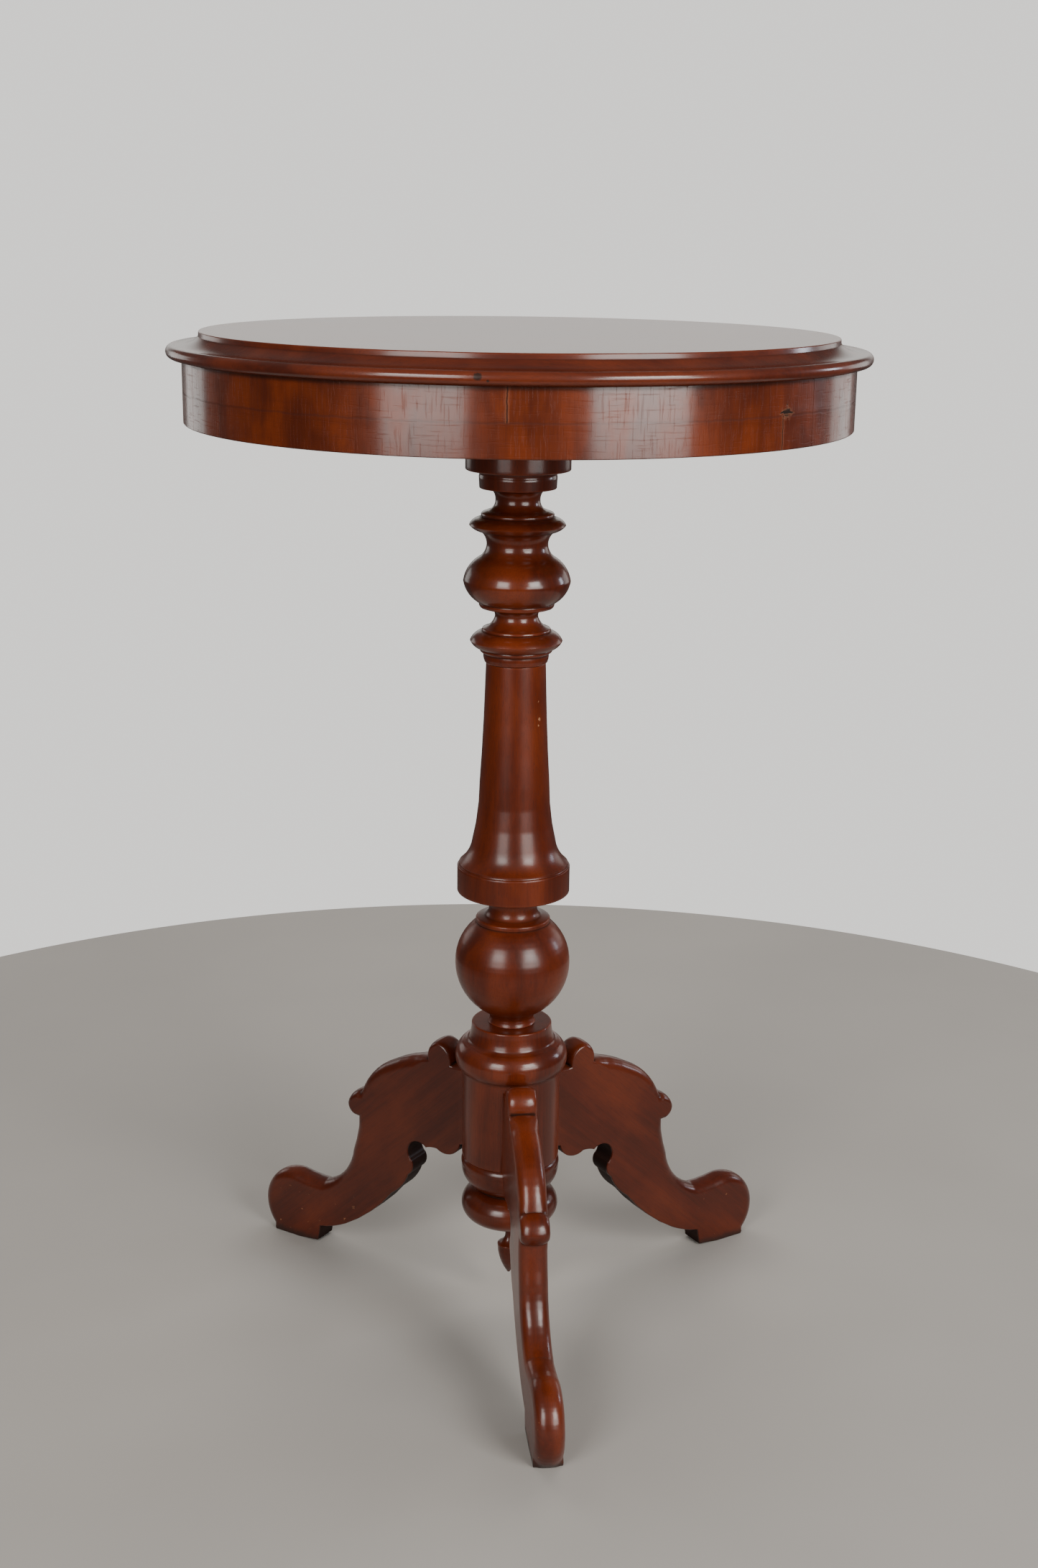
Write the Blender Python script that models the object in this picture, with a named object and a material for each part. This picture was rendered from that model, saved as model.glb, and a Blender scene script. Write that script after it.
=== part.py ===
"""Round pedestal table: a moulded round top with a deep veneered frieze, on a turned pillar with three fretted
legs.

The origin is on the floor under the pillar's axis, +Z is up and -Y is the front. Blender works in metres; the
sizes below are in millimetres and go through MM on their way into a mesh.
"""

from math import asin, atan2, cos, degrees, hypot, pi, radians, sin, sqrt

import bmesh
import bpy
from mathutils import Vector

MM = 0.001
GAP = 0.3  # clearance between two pieces that touch

# Top
TABLE_HEIGHT = 735.0
RIM_RADIUS = 238.3
BOARD_THICKNESS = 18.0
PANEL_INSET = 22.2  # from the rim's nose in to the raised flat panel
PANEL_STEP = 3.4  # the small upright edge round the panel

# Frieze: a ring of two courses of bricks, with veneer round the outside
FRIEZE_SETBACK = 10.6  # from the rim's nose in to the veneer
FRIEZE_DEPTH = 42.0
BRICK_WIDTH = 21.0
BRICKS_PER_COURSE = 4
COURSE_TURNS = (-1.6, 53.2)  # upper and lower course, degrees from the front to a joint
BRICK_JOINT = 0.15  # half the glue line between two bricks, as an angle in degrees
VENEER_THICKNESS = 0.7
VENEER_SHEETS = 3
VENEER_TURN = 53.2
VENEER_SEAM = 0.03  # half the seam between two sheets, as an angle in degrees

# Fixings under the board
BEARER_WIDTH = 96.0
BEARER_THICKNESS = 18.0
SCREW_RADIUS = 2.0
SCREW_HEAD_RADIUS = 4.2
SCREW_BITE = 11.0  # how far a screw reaches into the board
BLOCKS_PER_SIDE = 4
GLUE_BLOCK = 16.0
GLUE_BLOCK_LENGTH = 34.0

# Pillar, from the bearer down
HEAD_RADIUS = 36.8
HEAD_REACH = 87.0  # from the table's top down to the head block's lower face
TENON_RADIUS = 15.0
SHAFT_TOP_DROP = 229.0  # from the table's top down to the shaft's upper end
DRUM_RADIUS = 41.1
DRUM_TOP = 355.0
DRUM_BOTTOM = 335.0
BALL_RADIUS = 42.3
COLLAR_TOP = 232.8
BASE_RADIUS = 36.6
BASE_BOTTOM = 124.8
SPIGOT_RADIUS = 11.0
SPIGOT_LENGTH = 22.0

# Legs
LEG_AZIMUTHS = (("front", 7.5), ("right", 122.2), ("left", -121.6))  # degrees from the front, turning to +X
LEG_THICKNESS = 20.8
KNEE_TOP = 189.0
LEG_REACH = 194.0  # from the pillar's flat out to the toe
LEG_ROUNDING = 8.2  # how far the rounded outer edge eats into each side face
SCROLL_ROUNDING = 3.2  # the same on the scroll at the leg's top
KNUCKLE_ROUNDING = 5.0  # the same on the bead under the knee
FLAT_MARGIN = 1.8  # the flat on the pillar is wider than the leg by this on each side
DOVETAIL_LENGTH = 12.0
DOVETAIL_NECK = 0.36  # half width of the dovetail at the pillar's flat, as a share of the leg's thickness
DOVETAIL_ROOT = 0.50
DOVETAIL_TOP = 176.0

# Cap and drop under the pillar
CAP_RING_HEIGHT = 27.5  # the ring and the hollow under it
BUN_RADIUS = 36.7
BUN_EDGE = 12.5  # radius of the bun's half-round edge
DROP_RADIUS = 8.8
DROP_SPIGOT_RADIUS = 4.0
DROP_SPIGOT_LENGTH = 12.0

# Facets
TURNED_SIDES = 26
SMALL_SIDES = 12
ROUND_SIDES = 64

MAHOGANY = (0.20, 0.045, 0.016)
MAHOGANY_DARK = (0.13, 0.030, 0.012)
VENEER_RED = (0.26, 0.065, 0.022)
DEAL = (0.42, 0.27, 0.13)
STEEL = (0.32, 0.31, 0.30)


def clear_scene():
    for obj in list(bpy.data.objects):
        bpy.data.objects.remove(obj, do_unlink=True)


def material(name, colour, roughness, metallic=0.0):
    made = bpy.data.materials.new(name)
    made.use_nodes = True
    shader = made.node_tree.nodes["Principled BSDF"]
    shader.inputs["Base Color"].default_value = (*colour, 1.0)
    shader.inputs["Roughness"].default_value = roughness
    shader.inputs["Metallic"].default_value = metallic
    return made


def object_of(name, bm, colour, roughness, metallic=0.0, turn=0.0):
    """The object of a bmesh in millimetres, with round faces shaded smooth and sharp edges kept."""
    bmesh.ops.scale(bm, vec=(MM, MM, MM), verts=bm.verts)
    bmesh.ops.recalc_face_normals(bm, faces=bm.faces)
    mesh = bpy.data.meshes.new(name)
    bm.to_mesh(mesh)
    bm.free()
    mesh.shade_smooth()
    mesh.set_sharp_from_angle(angle=radians(35))
    obj = bpy.data.objects.new(name, mesh)
    obj.rotation_euler.z = radians(turn)
    obj.data.materials.append(material(name, colour, roughness, metallic))
    bpy.context.scene.collection.objects.link(obj)
    return obj


def arc(start, end, bulge, steps):
    """Points from start to end on a circle, without the start. The bulge is the rise over half the chord, and
    a positive one swells to the left of the way from start to end."""
    if not bulge:
        return [end]
    (x0, y0), (x1, y1) = start, end
    half = hypot(x1 - x0, y1 - y0) / 2
    rise = bulge * half
    radius = (half * half + rise * rise) / (2 * rise)
    along = ((x1 - x0) / (2 * half), (y1 - y0) / (2 * half))
    left = (-along[1], along[0])
    centre = [(a + b) / 2 + l * (rise - radius) for a, b, l in zip(start, end, left)]
    first = atan2(y0 - centre[1], x0 - centre[0])
    sweep = -4 * atan2(rise, half)
    return [
        (
            centre[0] + abs(radius) * cos(first + sweep * i / steps),
            centre[1] + abs(radius) * sin(first + sweep * i / steps),
        )
        for i in range(1, steps)
    ] + [end]


def outline(start, moves):
    """The points of an outline: each move is (x, y), or (x, y, bulge, steps) for an arc."""
    points = [start]
    for move in moves:
        end, bulge, steps = (move[0], move[1]), *(move[2:] or (0.0, 1))
        points += arc(points[-1], end, bulge, steps)
    return points


def lathe(profile, sides):
    """A closed solid of revolution of an outline from the axis back to the axis, (radius, height) from top to
    bottom on its outer side."""
    bm = bmesh.new()
    rings = []
    for radius, height in profile:
        if radius < 1e-6:
            rings.append([bm.verts.new((0, 0, height))])
            continue
        turns = [2 * pi * (i + 0.5) / sides for i in range(sides)]
        rings.append([bm.verts.new((radius * cos(t), radius * sin(t), height)) for t in turns])
    for upper, lower in zip(rings, rings[1:]):
        for i in range(sides):
            j = (i + 1) % sides
            above, below = len(upper), len(lower)
            corners = [upper[i % above], lower[i % below], lower[j % below], upper[j % above]]
            bm.faces.new(list(dict.fromkeys(corners)))
    return bm


def ring_sector(profile, first, last, steps):
    """A closed outline of (radius, height) swept from one azimuth to another, in degrees."""
    bm = bmesh.new()
    cuts = []
    for i in range(steps + 1):
        turn = radians(first + (last - first) * i / steps)
        cuts.append([bm.verts.new((r * sin(turn), -r * cos(turn), z)) for r, z in profile])
    for one, two in zip(cuts, cuts[1:]):
        for i in range(len(profile)):
            j = (i + 1) % len(profile)
            bm.faces.new((one[i], one[j], two[j], two[i]))
    bm.faces.new(cuts[0])
    bm.faces.new(cuts[-1][::-1])
    return bm


def box(low, high):
    bm = bmesh.new()
    bmesh.ops.create_cube(bm, size=1.0)
    middle = [(a + b) / 2 for a, b in zip(low, high)]
    bmesh.ops.scale(bm, vec=[b - a for a, b in zip(low, high)], verts=bm.verts)
    bmesh.ops.translate(bm, vec=middle, verts=bm.verts)
    return bm


def rectangle(inner, outer, bottom, top):
    return [(inner, bottom), (outer, bottom), (outer, top), (inner, top)]


def cut_with(obj, cutters):
    """Boolean differences that stay on the object, with the cutters kept as wire helpers."""
    for cutter in cutters:
        cutter.hide_render = True
        cutter.display_type = "WIRE"
        modifier = obj.modifiers.new(cutter.name, "BOOLEAN")
        modifier.operation = "DIFFERENCE"
        modifier.solver = "EXACT"
        modifier.object = cutter


# ---------------------------------------------------------------- top and frieze

BOARD_UNDER = TABLE_HEIGHT - BOARD_THICKNESS
VENEER_RADIUS = RIM_RADIUS - FRIEZE_SETBACK
CORE_OUTER = VENEER_RADIUS - VENEER_THICKNESS - GAP
CORE_INNER = CORE_OUTER - BRICK_WIDTH
FRIEZE_TOP = BOARD_UNDER - GAP
FRIEZE_BOTTOM = BOARD_UNDER - FRIEZE_DEPTH
BEARER_UNDER = FRIEZE_TOP - BEARER_THICKNESS
BEARER_HALF = sqrt((CORE_INNER - GAP) ** 2 - (BEARER_WIDTH / 2) ** 2)


def board_profile():
    """Raised panel, hollow, nose and the small quirk that leads back to the frieze."""
    top, nose = TABLE_HEIGHT, RIM_RADIUS
    panel = nose - PANEL_INSET
    return outline(
        (0.0, top),
        [
            (panel - 0.8, top),
            (panel, top - 0.8, 0.41, 2),
            (panel + 0.2, top - PANEL_STEP),
            (nose - 4.4, top - 8.9, -0.30, 4),
            (nose - 2.6, top - 9.2),
            (nose - 2.6, BOARD_UNDER + 1.2, 0.62, 6),
            (nose - 6.4, BOARD_UNDER + 0.6),
            (nose - 7.4, BOARD_UNDER),
            (0.0, BOARD_UNDER),
        ],
    )


def screw_places():
    """Where the bearer is screwed up into the board: three screws at each side of the pillar."""
    aside = BEARER_WIDTH * 0.3
    near = HEAD_RADIUS + (BEARER_HALF - HEAD_RADIUS) * 0.3
    far = HEAD_RADIUS + (BEARER_HALF - HEAD_RADIUS) * 0.85
    return [(side * x, y) for side in (-1, 1) for x, y in ((near, 0.0), (far, -aside), (far, aside))]


def screw_profile(clearance):
    """A countersunk screw from its flat head, flush with the bearer, up to its point in the board."""
    head, body, low = SCREW_HEAD_RADIUS + clearance, SCREW_RADIUS + clearance, BEARER_UNDER - clearance
    tip = BOARD_UNDER + SCREW_BITE + clearance
    return [
        (0.0, tip),
        (body, tip - 2.5),
        (body, low + SCREW_HEAD_RADIUS - SCREW_RADIUS + 1.0),
        (head, low + 1.0),
        (head, low),
        (0.0, low),
    ]


def placed(bm, x, y):
    bmesh.ops.translate(bm, vec=(x, y, 0.0), verts=bm.verts)
    return bm


def make_top():
    board = object_of("top_board", lathe(board_profile(), ROUND_SIDES), MAHOGANY, 0.18)
    cutters = []
    for number, (x, y) in enumerate(screw_places(), 1):
        screw = placed(lathe(screw_profile(0.0), SMALL_SIDES), x, y)
        object_of(f"bearer_screw_{number}", screw, STEEL, 0.45, 1.0)
        hole = placed(lathe(screw_profile(GAP), SMALL_SIDES), x, y)
        cutters.append(object_of(f"cutter_screw_{number}", hole, STEEL, 0.5))
    cut_with(board, cutters)
    return cutters


def make_frieze():
    course = (FRIEZE_TOP - FRIEZE_BOTTOM - GAP) / 2
    step = 360 / BRICKS_PER_COURSE
    for name, bottom, turn in (
        ("upper", FRIEZE_TOP - course, COURSE_TURNS[0]),
        ("lower", FRIEZE_BOTTOM, COURSE_TURNS[1]),
    ):
        for number in range(BRICKS_PER_COURSE):
            first = turn + number * step + BRICK_JOINT
            last = turn + (number + 1) * step - BRICK_JOINT
            section = rectangle(CORE_INNER, CORE_OUTER, bottom, bottom + course)
            brick = ring_sector(section, first, last, ROUND_SIDES // BRICKS_PER_COURSE)
            object_of(f"frieze_brick_{name}_{number + 1}", brick, DEAL, 0.7)
    step = 360 / VENEER_SHEETS
    skin = rectangle(VENEER_RADIUS - VENEER_THICKNESS, VENEER_RADIUS, FRIEZE_BOTTOM, FRIEZE_TOP)
    for number in range(VENEER_SHEETS):
        first = VENEER_TURN + number * step
        last = first + step - VENEER_SEAM
        sheet = ring_sector(skin, first + VENEER_SEAM, last, ROUND_SIDES // VENEER_SHEETS)
        object_of(f"frieze_veneer_{number + 1}", sheet, VENEER_RED, 0.2)


def make_glue_blocks():
    """Rubbed blocks in the corner between the frieze and the board, spread over the two sides that the bearer's
    ends leave."""
    half = GLUE_BLOCK_LENGTH / 2
    outer = (CORE_INNER - GAP) * cos(half / CORE_INNER)
    kept_clear = degrees(asin((BEARER_WIDTH / 2 + half + 8.0) / (outer - GLUE_BLOCK)))
    spread = 180 - 2 * kept_clear
    number = 0
    for middle in (0.0, 180.0):
        for place in range(BLOCKS_PER_SIDE):
            number += 1
            block = box((-half, -outer, FRIEZE_TOP - GLUE_BLOCK), (half, GLUE_BLOCK - outer, FRIEZE_TOP))
            turn = middle + spread * (place / (BLOCKS_PER_SIDE - 1) - 0.5)
            object_of(f"glue_block_{number}", block, DEAL, 0.75, turn=turn)


def make_bearer(screw_cutters):
    half = BEARER_WIDTH / 2
    plank = box((-BEARER_HALF, -half, BEARER_UNDER), (BEARER_HALF, half, FRIEZE_TOP))
    bearer = object_of("bearer", plank, DEAL, 0.7)
    hole = lathe(tenon_hole(), TURNED_SIDES)
    cut_with(bearer, [object_of("cutter_tenon", hole, DEAL, 0.5), *screw_cutters])


# ---------------------------------------------------------------- pillar

SHAFT_TOP = TABLE_HEIGHT - SHAFT_TOP_DROP
HEAD_BOTTOM = TABLE_HEIGHT - HEAD_REACH - 6.0
HEAD_TOP = BEARER_UNDER - GAP
CAP_BOTTOM = BASE_BOTTOM - GAP - CAP_RING_HEIGHT - 2 * BUN_EDGE - 0.2


def tenon_hole():
    reach = TENON_RADIUS + GAP
    high, low = FRIEZE_TOP + 5.0, HEAD_TOP - 5.0
    return [(0.0, high), (reach, high), (reach, low), (0.0, low)]


def socket(bottom):
    """The end of a profile: a round hole going up into a piece from its lower face."""
    reach = SPIGOT_RADIUS + GAP
    top = bottom + SPIGOT_LENGTH + 2 * GAP
    return [(reach, bottom), (reach, top), (0.0, top)]


def spigot(top):
    """The start of a profile: a round pin standing on a piece's upper face."""
    return [(0.0, top + SPIGOT_LENGTH), (SPIGOT_RADIUS - 1, top + SPIGOT_LENGTH),
            (SPIGOT_RADIUS, top + SPIGOT_LENGTH - 1), (SPIGOT_RADIUS, top)]


def head_profile():
    """Block under the bearer, step, neck, sharp ring, bulb, ring and the small steps over the shaft."""
    z = TABLE_HEIGHT
    tenon_top = FRIEZE_TOP - 1.0
    start = [(0.0, tenon_top), (TENON_RADIUS, tenon_top), (TENON_RADIUS, HEAD_TOP), (HEAD_RADIUS, HEAD_TOP)]
    return start + outline(
        (HEAD_RADIUS, HEAD_BOTTOM + 1.0),
        [
            (HEAD_RADIUS - 1.0, HEAD_BOTTOM),
            (28.4, HEAD_BOTTOM),
            (27.4, z - 97.5, -0.3, 2),
            (27.0, z - 105.6),
            (18.0, z - 107.2),
            (15.8, z - 115.0, -0.20, 2),
            (21.7, z - 121.2, -0.35, 3),
            (24.8, z - 122.4),
            (25.4, z - 125.0, 0.4, 2),
            (29.4, z - 126.8),
            (33.9, z - 131.3, 0.22, 2),
            (26.2, z - 135.6, 0.20, 2),
            (21.6, z - 145.0, -0.25, 4),
            (26.0, z - 153.4, -0.22, 3),
            (37.9, z - 170.5, 0.24, 5),
            (26.6, z - 186.0, 0.24, 5),
            (25.6, z - 189.2),
            (17.4, z - 190.6),
            (15.3, z - 195.6, -0.20, 2),
            (24.0, z - 204.2, -0.30, 3),
            (24.3, z - 206.2),
            (32.8, z - 213.0, 0.26, 2),
            (25.6, z - 218.8, 0.26, 2),
            (25.4, z - 220.8),
            (23.2, z - 222.4),
            (22.6, z - 227.4),
            (21.6, SHAFT_TOP + GAP, 0.3, 2),
        ],
    ) + socket(SHAFT_TOP + GAP)


def shaft_profile():
    """A trumpet that flares down onto the drum."""
    rise = SHAFT_TOP - DRUM_TOP
    top = spigot(SHAFT_TOP) + [(21.3, SHAFT_TOP)]
    neck = (21.3, SHAFT_TOP - rise * 0.02)
    foot = DRUM_TOP + 2.4
    trumpet = outline(
        neck,
        [
            (21.9, SHAFT_TOP - rise * 0.12),
            (25.2, SHAFT_TOP - rise * 0.58),
            (31.0, DRUM_TOP + 16.0, -0.06, 3),
            (DRUM_RADIUS - 1.4, foot, -0.16, 3),
            (DRUM_RADIUS - 1.2, DRUM_TOP + 0.6),
            (DRUM_RADIUS, DRUM_TOP),
            (DRUM_RADIUS, DRUM_BOTTOM + GAP + 1.2),
            (DRUM_RADIUS - 1.2, DRUM_BOTTOM + GAP, 0.4, 2),
        ],
    )
    return top + trumpet + socket(DRUM_BOTTOM + GAP)


def ball_profile():
    """Waist, small disc, ball and lower waist."""
    z = DRUM_BOTTOM
    return spigot(z) + outline(
        (26.0, z),
        [
            (17.7, z - 13.0, -0.40, 4),
            (20.5, z - 18.6, -0.20, 2),
            (26.4, z - 19.6),
            (27.2, z - 21.2, 0.4, 2),
            (27.0, z - 23.2),
            (BALL_RADIUS, z - 55.0, 0.24, 5),
            (23.0, z - 91.0, 0.25, 6),
            (18.6, COLLAR_TOP + 8.0, -0.2, 2),
            (16.4, COLLAR_TOP + 5.0, -0.2, 2),
            (17.6, COLLAR_TOP + GAP, -0.2, 2),
        ],
    ) + socket(COLLAR_TOP + GAP)


def base_profile():
    """Collar, bulb and the plain drum that takes the legs."""
    return spigot(COLLAR_TOP) + outline(
        (28.8, COLLAR_TOP),
        [
            (29.8, COLLAR_TOP - 1.0),
            (31.9, COLLAR_TOP - 13.2, -0.08, 3),
            (36.0, COLLAR_TOP - 15.4, -0.2, 2),
            (41.8, COLLAR_TOP - 27.8, 0.28, 4),
            (BASE_RADIUS + 0.4, COLLAR_TOP - 37.4, 0.26, 3),
            (BASE_RADIUS, COLLAR_TOP - 39.0),
            (BASE_RADIUS, BASE_BOTTOM),
        ],
    ) + socket(BASE_BOTTOM)


def cap_profile():
    """The turned cap that closes the leg sockets from below: a thick ring and a bun in one piece."""
    top = BASE_BOTTOM - GAP
    crown = top - CAP_RING_HEIGHT
    thick = BUN_EDGE
    hole = DROP_SPIGOT_RADIUS + GAP
    return spigot(top) + outline(
        (BASE_RADIUS - 2.0, top),
        [
            (BASE_RADIUS + 0.2, top - 8.0, 0.30, 2),
            (24.6, top - 25.6, 0.32, 4),
            (23.8, crown + 0.4),
            (BUN_RADIUS - thick, crown),
            (BUN_RADIUS, crown - thick, 0.414, 5),
            (BUN_RADIUS - thick, crown - 2 * thick, 0.414, 5),
            (hole, CAP_BOTTOM),
            (hole, CAP_BOTTOM + DROP_SPIGOT_LENGTH + GAP),
            (0.0, CAP_BOTTOM + DROP_SPIGOT_LENGTH + GAP),
        ],
    )


def drop_profile():
    """A small turned drop: a thin neck, a hollow shoulder with a sharp edge and a long point."""
    top = CAP_BOTTOM - GAP
    return outline(
        (0.0, top + DROP_SPIGOT_LENGTH),
        [
            (DROP_SPIGOT_RADIUS, top + DROP_SPIGOT_LENGTH),
            (DROP_SPIGOT_RADIUS, top),
            (2.9, top - 5.0),
            (2.9, top - 14.5),
            (DROP_RADIUS, top - 23.0, -0.34, 4),
            (DROP_RADIUS, top - 24.4),
            (1.3, top - 47.4, 0.15, 5),
            (0.0, top - 48.0),
        ],
    )


def tenon_wedge():
    """The wedge that is driven into the tenon's saw cut, as a tapered slip."""
    low, high = FRIEZE_TOP - 14.0, FRIEZE_TOP - 1.5
    half, thin, thick = TENON_RADIUS - 3.0, 0.9, 1.7
    bm = bmesh.new()
    corners = [
        bm.verts.new((x * half, y * width, z))
        for z, width in ((low, thin), (high, thick))
        for x, y in ((-1, -1), (1, -1), (1, 1), (-1, 1))
    ]
    bm.faces.new(corners[:4])
    bm.faces.new(corners[4:])
    for i in range(4):
        j = (i + 1) % 4
        bm.faces.new((corners[i], corners[j], corners[j + 4], corners[i + 4]))
    return bm


def make_pillar():
    head = object_of("pillar_head", lathe(head_profile(), TURNED_SIDES), MAHOGANY, 0.2)
    slot = box((-TENON_RADIUS + 2.5, -2.1, FRIEZE_TOP - 15.0), (TENON_RADIUS - 2.5, 2.1, FRIEZE_TOP + 5.0))
    cut_with(head, [object_of("cutter_wedge_slot", slot, MAHOGANY, 0.5)])
    object_of("tenon_wedge", tenon_wedge(), MAHOGANY_DARK, 0.6)
    object_of("pillar_shaft", lathe(shaft_profile(), TURNED_SIDES), MAHOGANY, 0.2)
    object_of("pillar_ball", lathe(ball_profile(), TURNED_SIDES), MAHOGANY, 0.2)
    base = object_of("pillar_base", lathe(base_profile(), TURNED_SIDES), MAHOGANY, 0.2)
    cut_with(base, base_cutters())
    object_of("base_cap", lathe(cap_profile(), TURNED_SIDES), MAHOGANY, 0.2)
    object_of("base_drop", lathe(drop_profile(), SMALL_SIDES * 2), MAHOGANY_DARK, 0.25)


# ---------------------------------------------------------------- legs

FLAT_HALF = LEG_THICKNESS / 2 + FLAT_MARGIN
FLAT_RADIUS = sqrt(BASE_RADIUS**2 - FLAT_HALF**2)  # from the axis to the flat that a leg stands against
LEG_ROOT = FLAT_RADIUS + GAP


def dovetail(clearance, bottom, top, reach):
    """A dovetail prism across the leg's direction: from above, a trapezium that widens into the pillar."""
    neck = LEG_THICKNESS * DOVETAIL_NECK + clearance
    root = LEG_THICKNESS * DOVETAIL_ROOT + clearance
    outer, inner = LEG_ROOT + reach, FLAT_RADIUS - DOVETAIL_LENGTH - clearance
    waist = FLAT_RADIUS - 1.0
    plan = [(-neck, -outer), (neck, -outer), (neck, -waist), (root, -inner), (-root, -inner), (-neck, -waist)]
    bm = bmesh.new()
    low, high = ([bm.verts.new((x, y, z)) for x, y in plan] for z in (bottom, top))
    bm.faces.new(low)
    bm.faces.new(high[::-1])
    for i in range(len(plan)):
        j = (i + 1) % len(plan)
        bm.faces.new((low[i], low[j], high[j], high[i]))
    return bm


def base_cutters():
    """For each leg, the flat that it stands against and the socket of its dovetail, open below."""
    cutters = []
    for name, azimuth in LEG_AZIMUTHS:
        low = BASE_BOTTOM - 5.0
        flat = box((-FLAT_HALF - 4, -BASE_RADIUS - 9, low), (FLAT_HALF + 4, -FLAT_RADIUS, KNEE_TOP + 3.0))
        cutters.append(object_of(f"cutter_flat_{name}", flat, MAHOGANY, 0.5, turn=azimuth))
        hole = dovetail(GAP, BASE_BOTTOM - 8.0, DOVETAIL_TOP + GAP, 9.0)
        cutters.append(object_of(f"cutter_socket_{name}", hole, MAHOGANY, 0.5, turn=azimuth))
    return cutters


def leg_outline():
    """(reach from the axis, height) round one leg, and how many of its first points lie on the outer edge,
    which is rounded. It goes from the pillar out over the scroll, knee, knuckle bead and shin to the toe, then
    back along the sole and up the fretted underside."""
    scale = LEG_REACH / 194.0
    x = lambda reach: LEG_ROOT + (reach - 35.2) * scale
    start = (LEG_ROOT, KNEE_TOP)
    outer = outline(
        start,
        [
            (x(47.0), KNEE_TOP),
            (x(60.5), 204.8, 0.42, 4),
            (x(71.2), 188.8, 0.42, 4),
            (x(107.5), 175.6, 0.10, 4),
            (x(135.6), 144.6, 0.20, 6),
            (x(148.4), 133.0, 0.30, 4),
            (x(138.2), 121.4, 0.42, 4),
            (x(144.4), 92.5, -0.06, 3),
            (x(174.0), 54.4, -0.27, 5),
            (x(200.5), 56.4, -0.06, 2),
            (x(233.6), 24.0, 0.45, 7),
            (x(222.5), 0.0, 0.20, 3),
        ],
    )
    under = outline(
        outer[-1],
        [
            (x(197.0), 0.0),
            (x(178.5), 2.0),
            (x(176.0), 15.6),
            (x(168.0), 17.4),
            (x(150.0), 25.0, 0.05, 2),
            (x(104.0), 65.5, 0.10, 4),
            (x(88.0), 86.0, 0.16, 3),
            (x(84.8), 98.6, 0.40, 3),
            (x(71.4), 113.4, -1.05, 7),
            (x(61.0), 115.2, -0.12, 2),
            (x(39.5), BASE_BOTTOM - 0.4, 0.55, 4),
            (LEG_ROOT, BASE_BOTTOM + 0.8),
        ],
    )
    return outer + under[1:], len(outer)


def inset(points, amounts):
    """The closed outline moved in towards its inside by an amount at each point."""
    moved = []
    for i, (x, y) in enumerate(points):
        before, after = points[i - 1], points[(i + 1) % len(points)]
        one = Vector((x - before[0], y - before[1])).normalized()
        two = Vector((after[0] - x, after[1] - y)).normalized()
        across = Vector((one.y + two.y, -one.x - two.x))
        across = across.normalized() / max(across.length / 2, 0.6)
        moved.append((x + across.x * amounts[i], y + across.y * amounts[i]))
    return moved


def rounding(points, outer_count):
    """How far each point of the outline moves in at the side faces: as its moulding asks on the outer edge,
    with a short run-in at both ends, and not at all below."""
    amounts = []
    for i, (reach, height) in enumerate(points):
        full = LEG_ROUNDING
        if height > KNEE_TOP - 2.0:
            full = SCROLL_ROUNDING
        elif 120.0 < height < 145.0:
            full = KNUCKLE_ROUNDING
        share = min(1.0, i / 3, max(0.0, (outer_count - 1 - i) / 3))
        amounts.append(full * share if i < outer_count else 0.0)
    return amounts


def leg_body():
    """The leg's outline lofted across its thickness, with a half-round outer edge, looking towards -Y."""
    points, outer_count = leg_outline()
    full = rounding(points, outer_count)
    half = LEG_THICKNESS / 2
    bm = bmesh.new()
    rings = []
    for across in (-1.0, -0.86, -0.5, 0.5, 0.86, 1.0):
        share = 1 - sqrt(max(0.0, 1 - abs(across) ** 2.4))
        ring = inset(points, [amount * share for amount in full])
        rings.append([bm.verts.new((across * half, -reach, height)) for reach, height in ring])
    for one, two in zip(rings, rings[1:]):
        for i in range(len(points)):
            j = (i + 1) % len(points)
            bm.faces.new((one[i], one[j], two[j], two[i]))
    bm.faces.new(rings[0])
    bm.faces.new(rings[-1][::-1])
    return bm


def make_legs():
    for name, azimuth in LEG_AZIMUTHS:
        leg = object_of(f"leg_{name}", leg_body(), MAHOGANY, 0.2, turn=azimuth)
        pin = dovetail(0.0, BASE_BOTTOM + 2.0, DOVETAIL_TOP, 3.0)
        tail = object_of(f"dovetail_{name}", pin, MAHOGANY, 0.5, turn=azimuth)
        tail.hide_render = True
        tail.display_type = "WIRE"
        joined = leg.modifiers.new("Dovetail", "BOOLEAN")
        joined.operation = "UNION"
        joined.solver = "EXACT"
        joined.object = tail


def main():
    clear_scene()
    screw_cutters = make_top()
    make_frieze()
    make_glue_blocks()
    make_bearer(screw_cutters)
    make_pillar()
    make_legs()


main()
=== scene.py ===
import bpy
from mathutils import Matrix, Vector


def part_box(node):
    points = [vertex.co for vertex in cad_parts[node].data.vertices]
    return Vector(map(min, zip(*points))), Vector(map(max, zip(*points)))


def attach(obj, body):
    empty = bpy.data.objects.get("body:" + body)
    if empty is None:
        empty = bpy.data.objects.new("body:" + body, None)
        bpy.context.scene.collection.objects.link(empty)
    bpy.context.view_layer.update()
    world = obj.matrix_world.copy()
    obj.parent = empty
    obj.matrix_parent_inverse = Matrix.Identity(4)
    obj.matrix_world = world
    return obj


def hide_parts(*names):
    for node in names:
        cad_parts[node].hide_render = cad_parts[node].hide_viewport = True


bl_info = {
    "name": "Round pedestal table",
    "version": (1, 0, 0),
    "blender": (4, 5, 0),
    "location": "View3D > Sidebar > Table",
    "description": "Builds the polished surfaces of a round pedestal table round its packed model",
    "category": "Object",
}

from math import atan, atan2, ceil, cos, degrees, hypot, pi, radians, sin, sqrt

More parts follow.
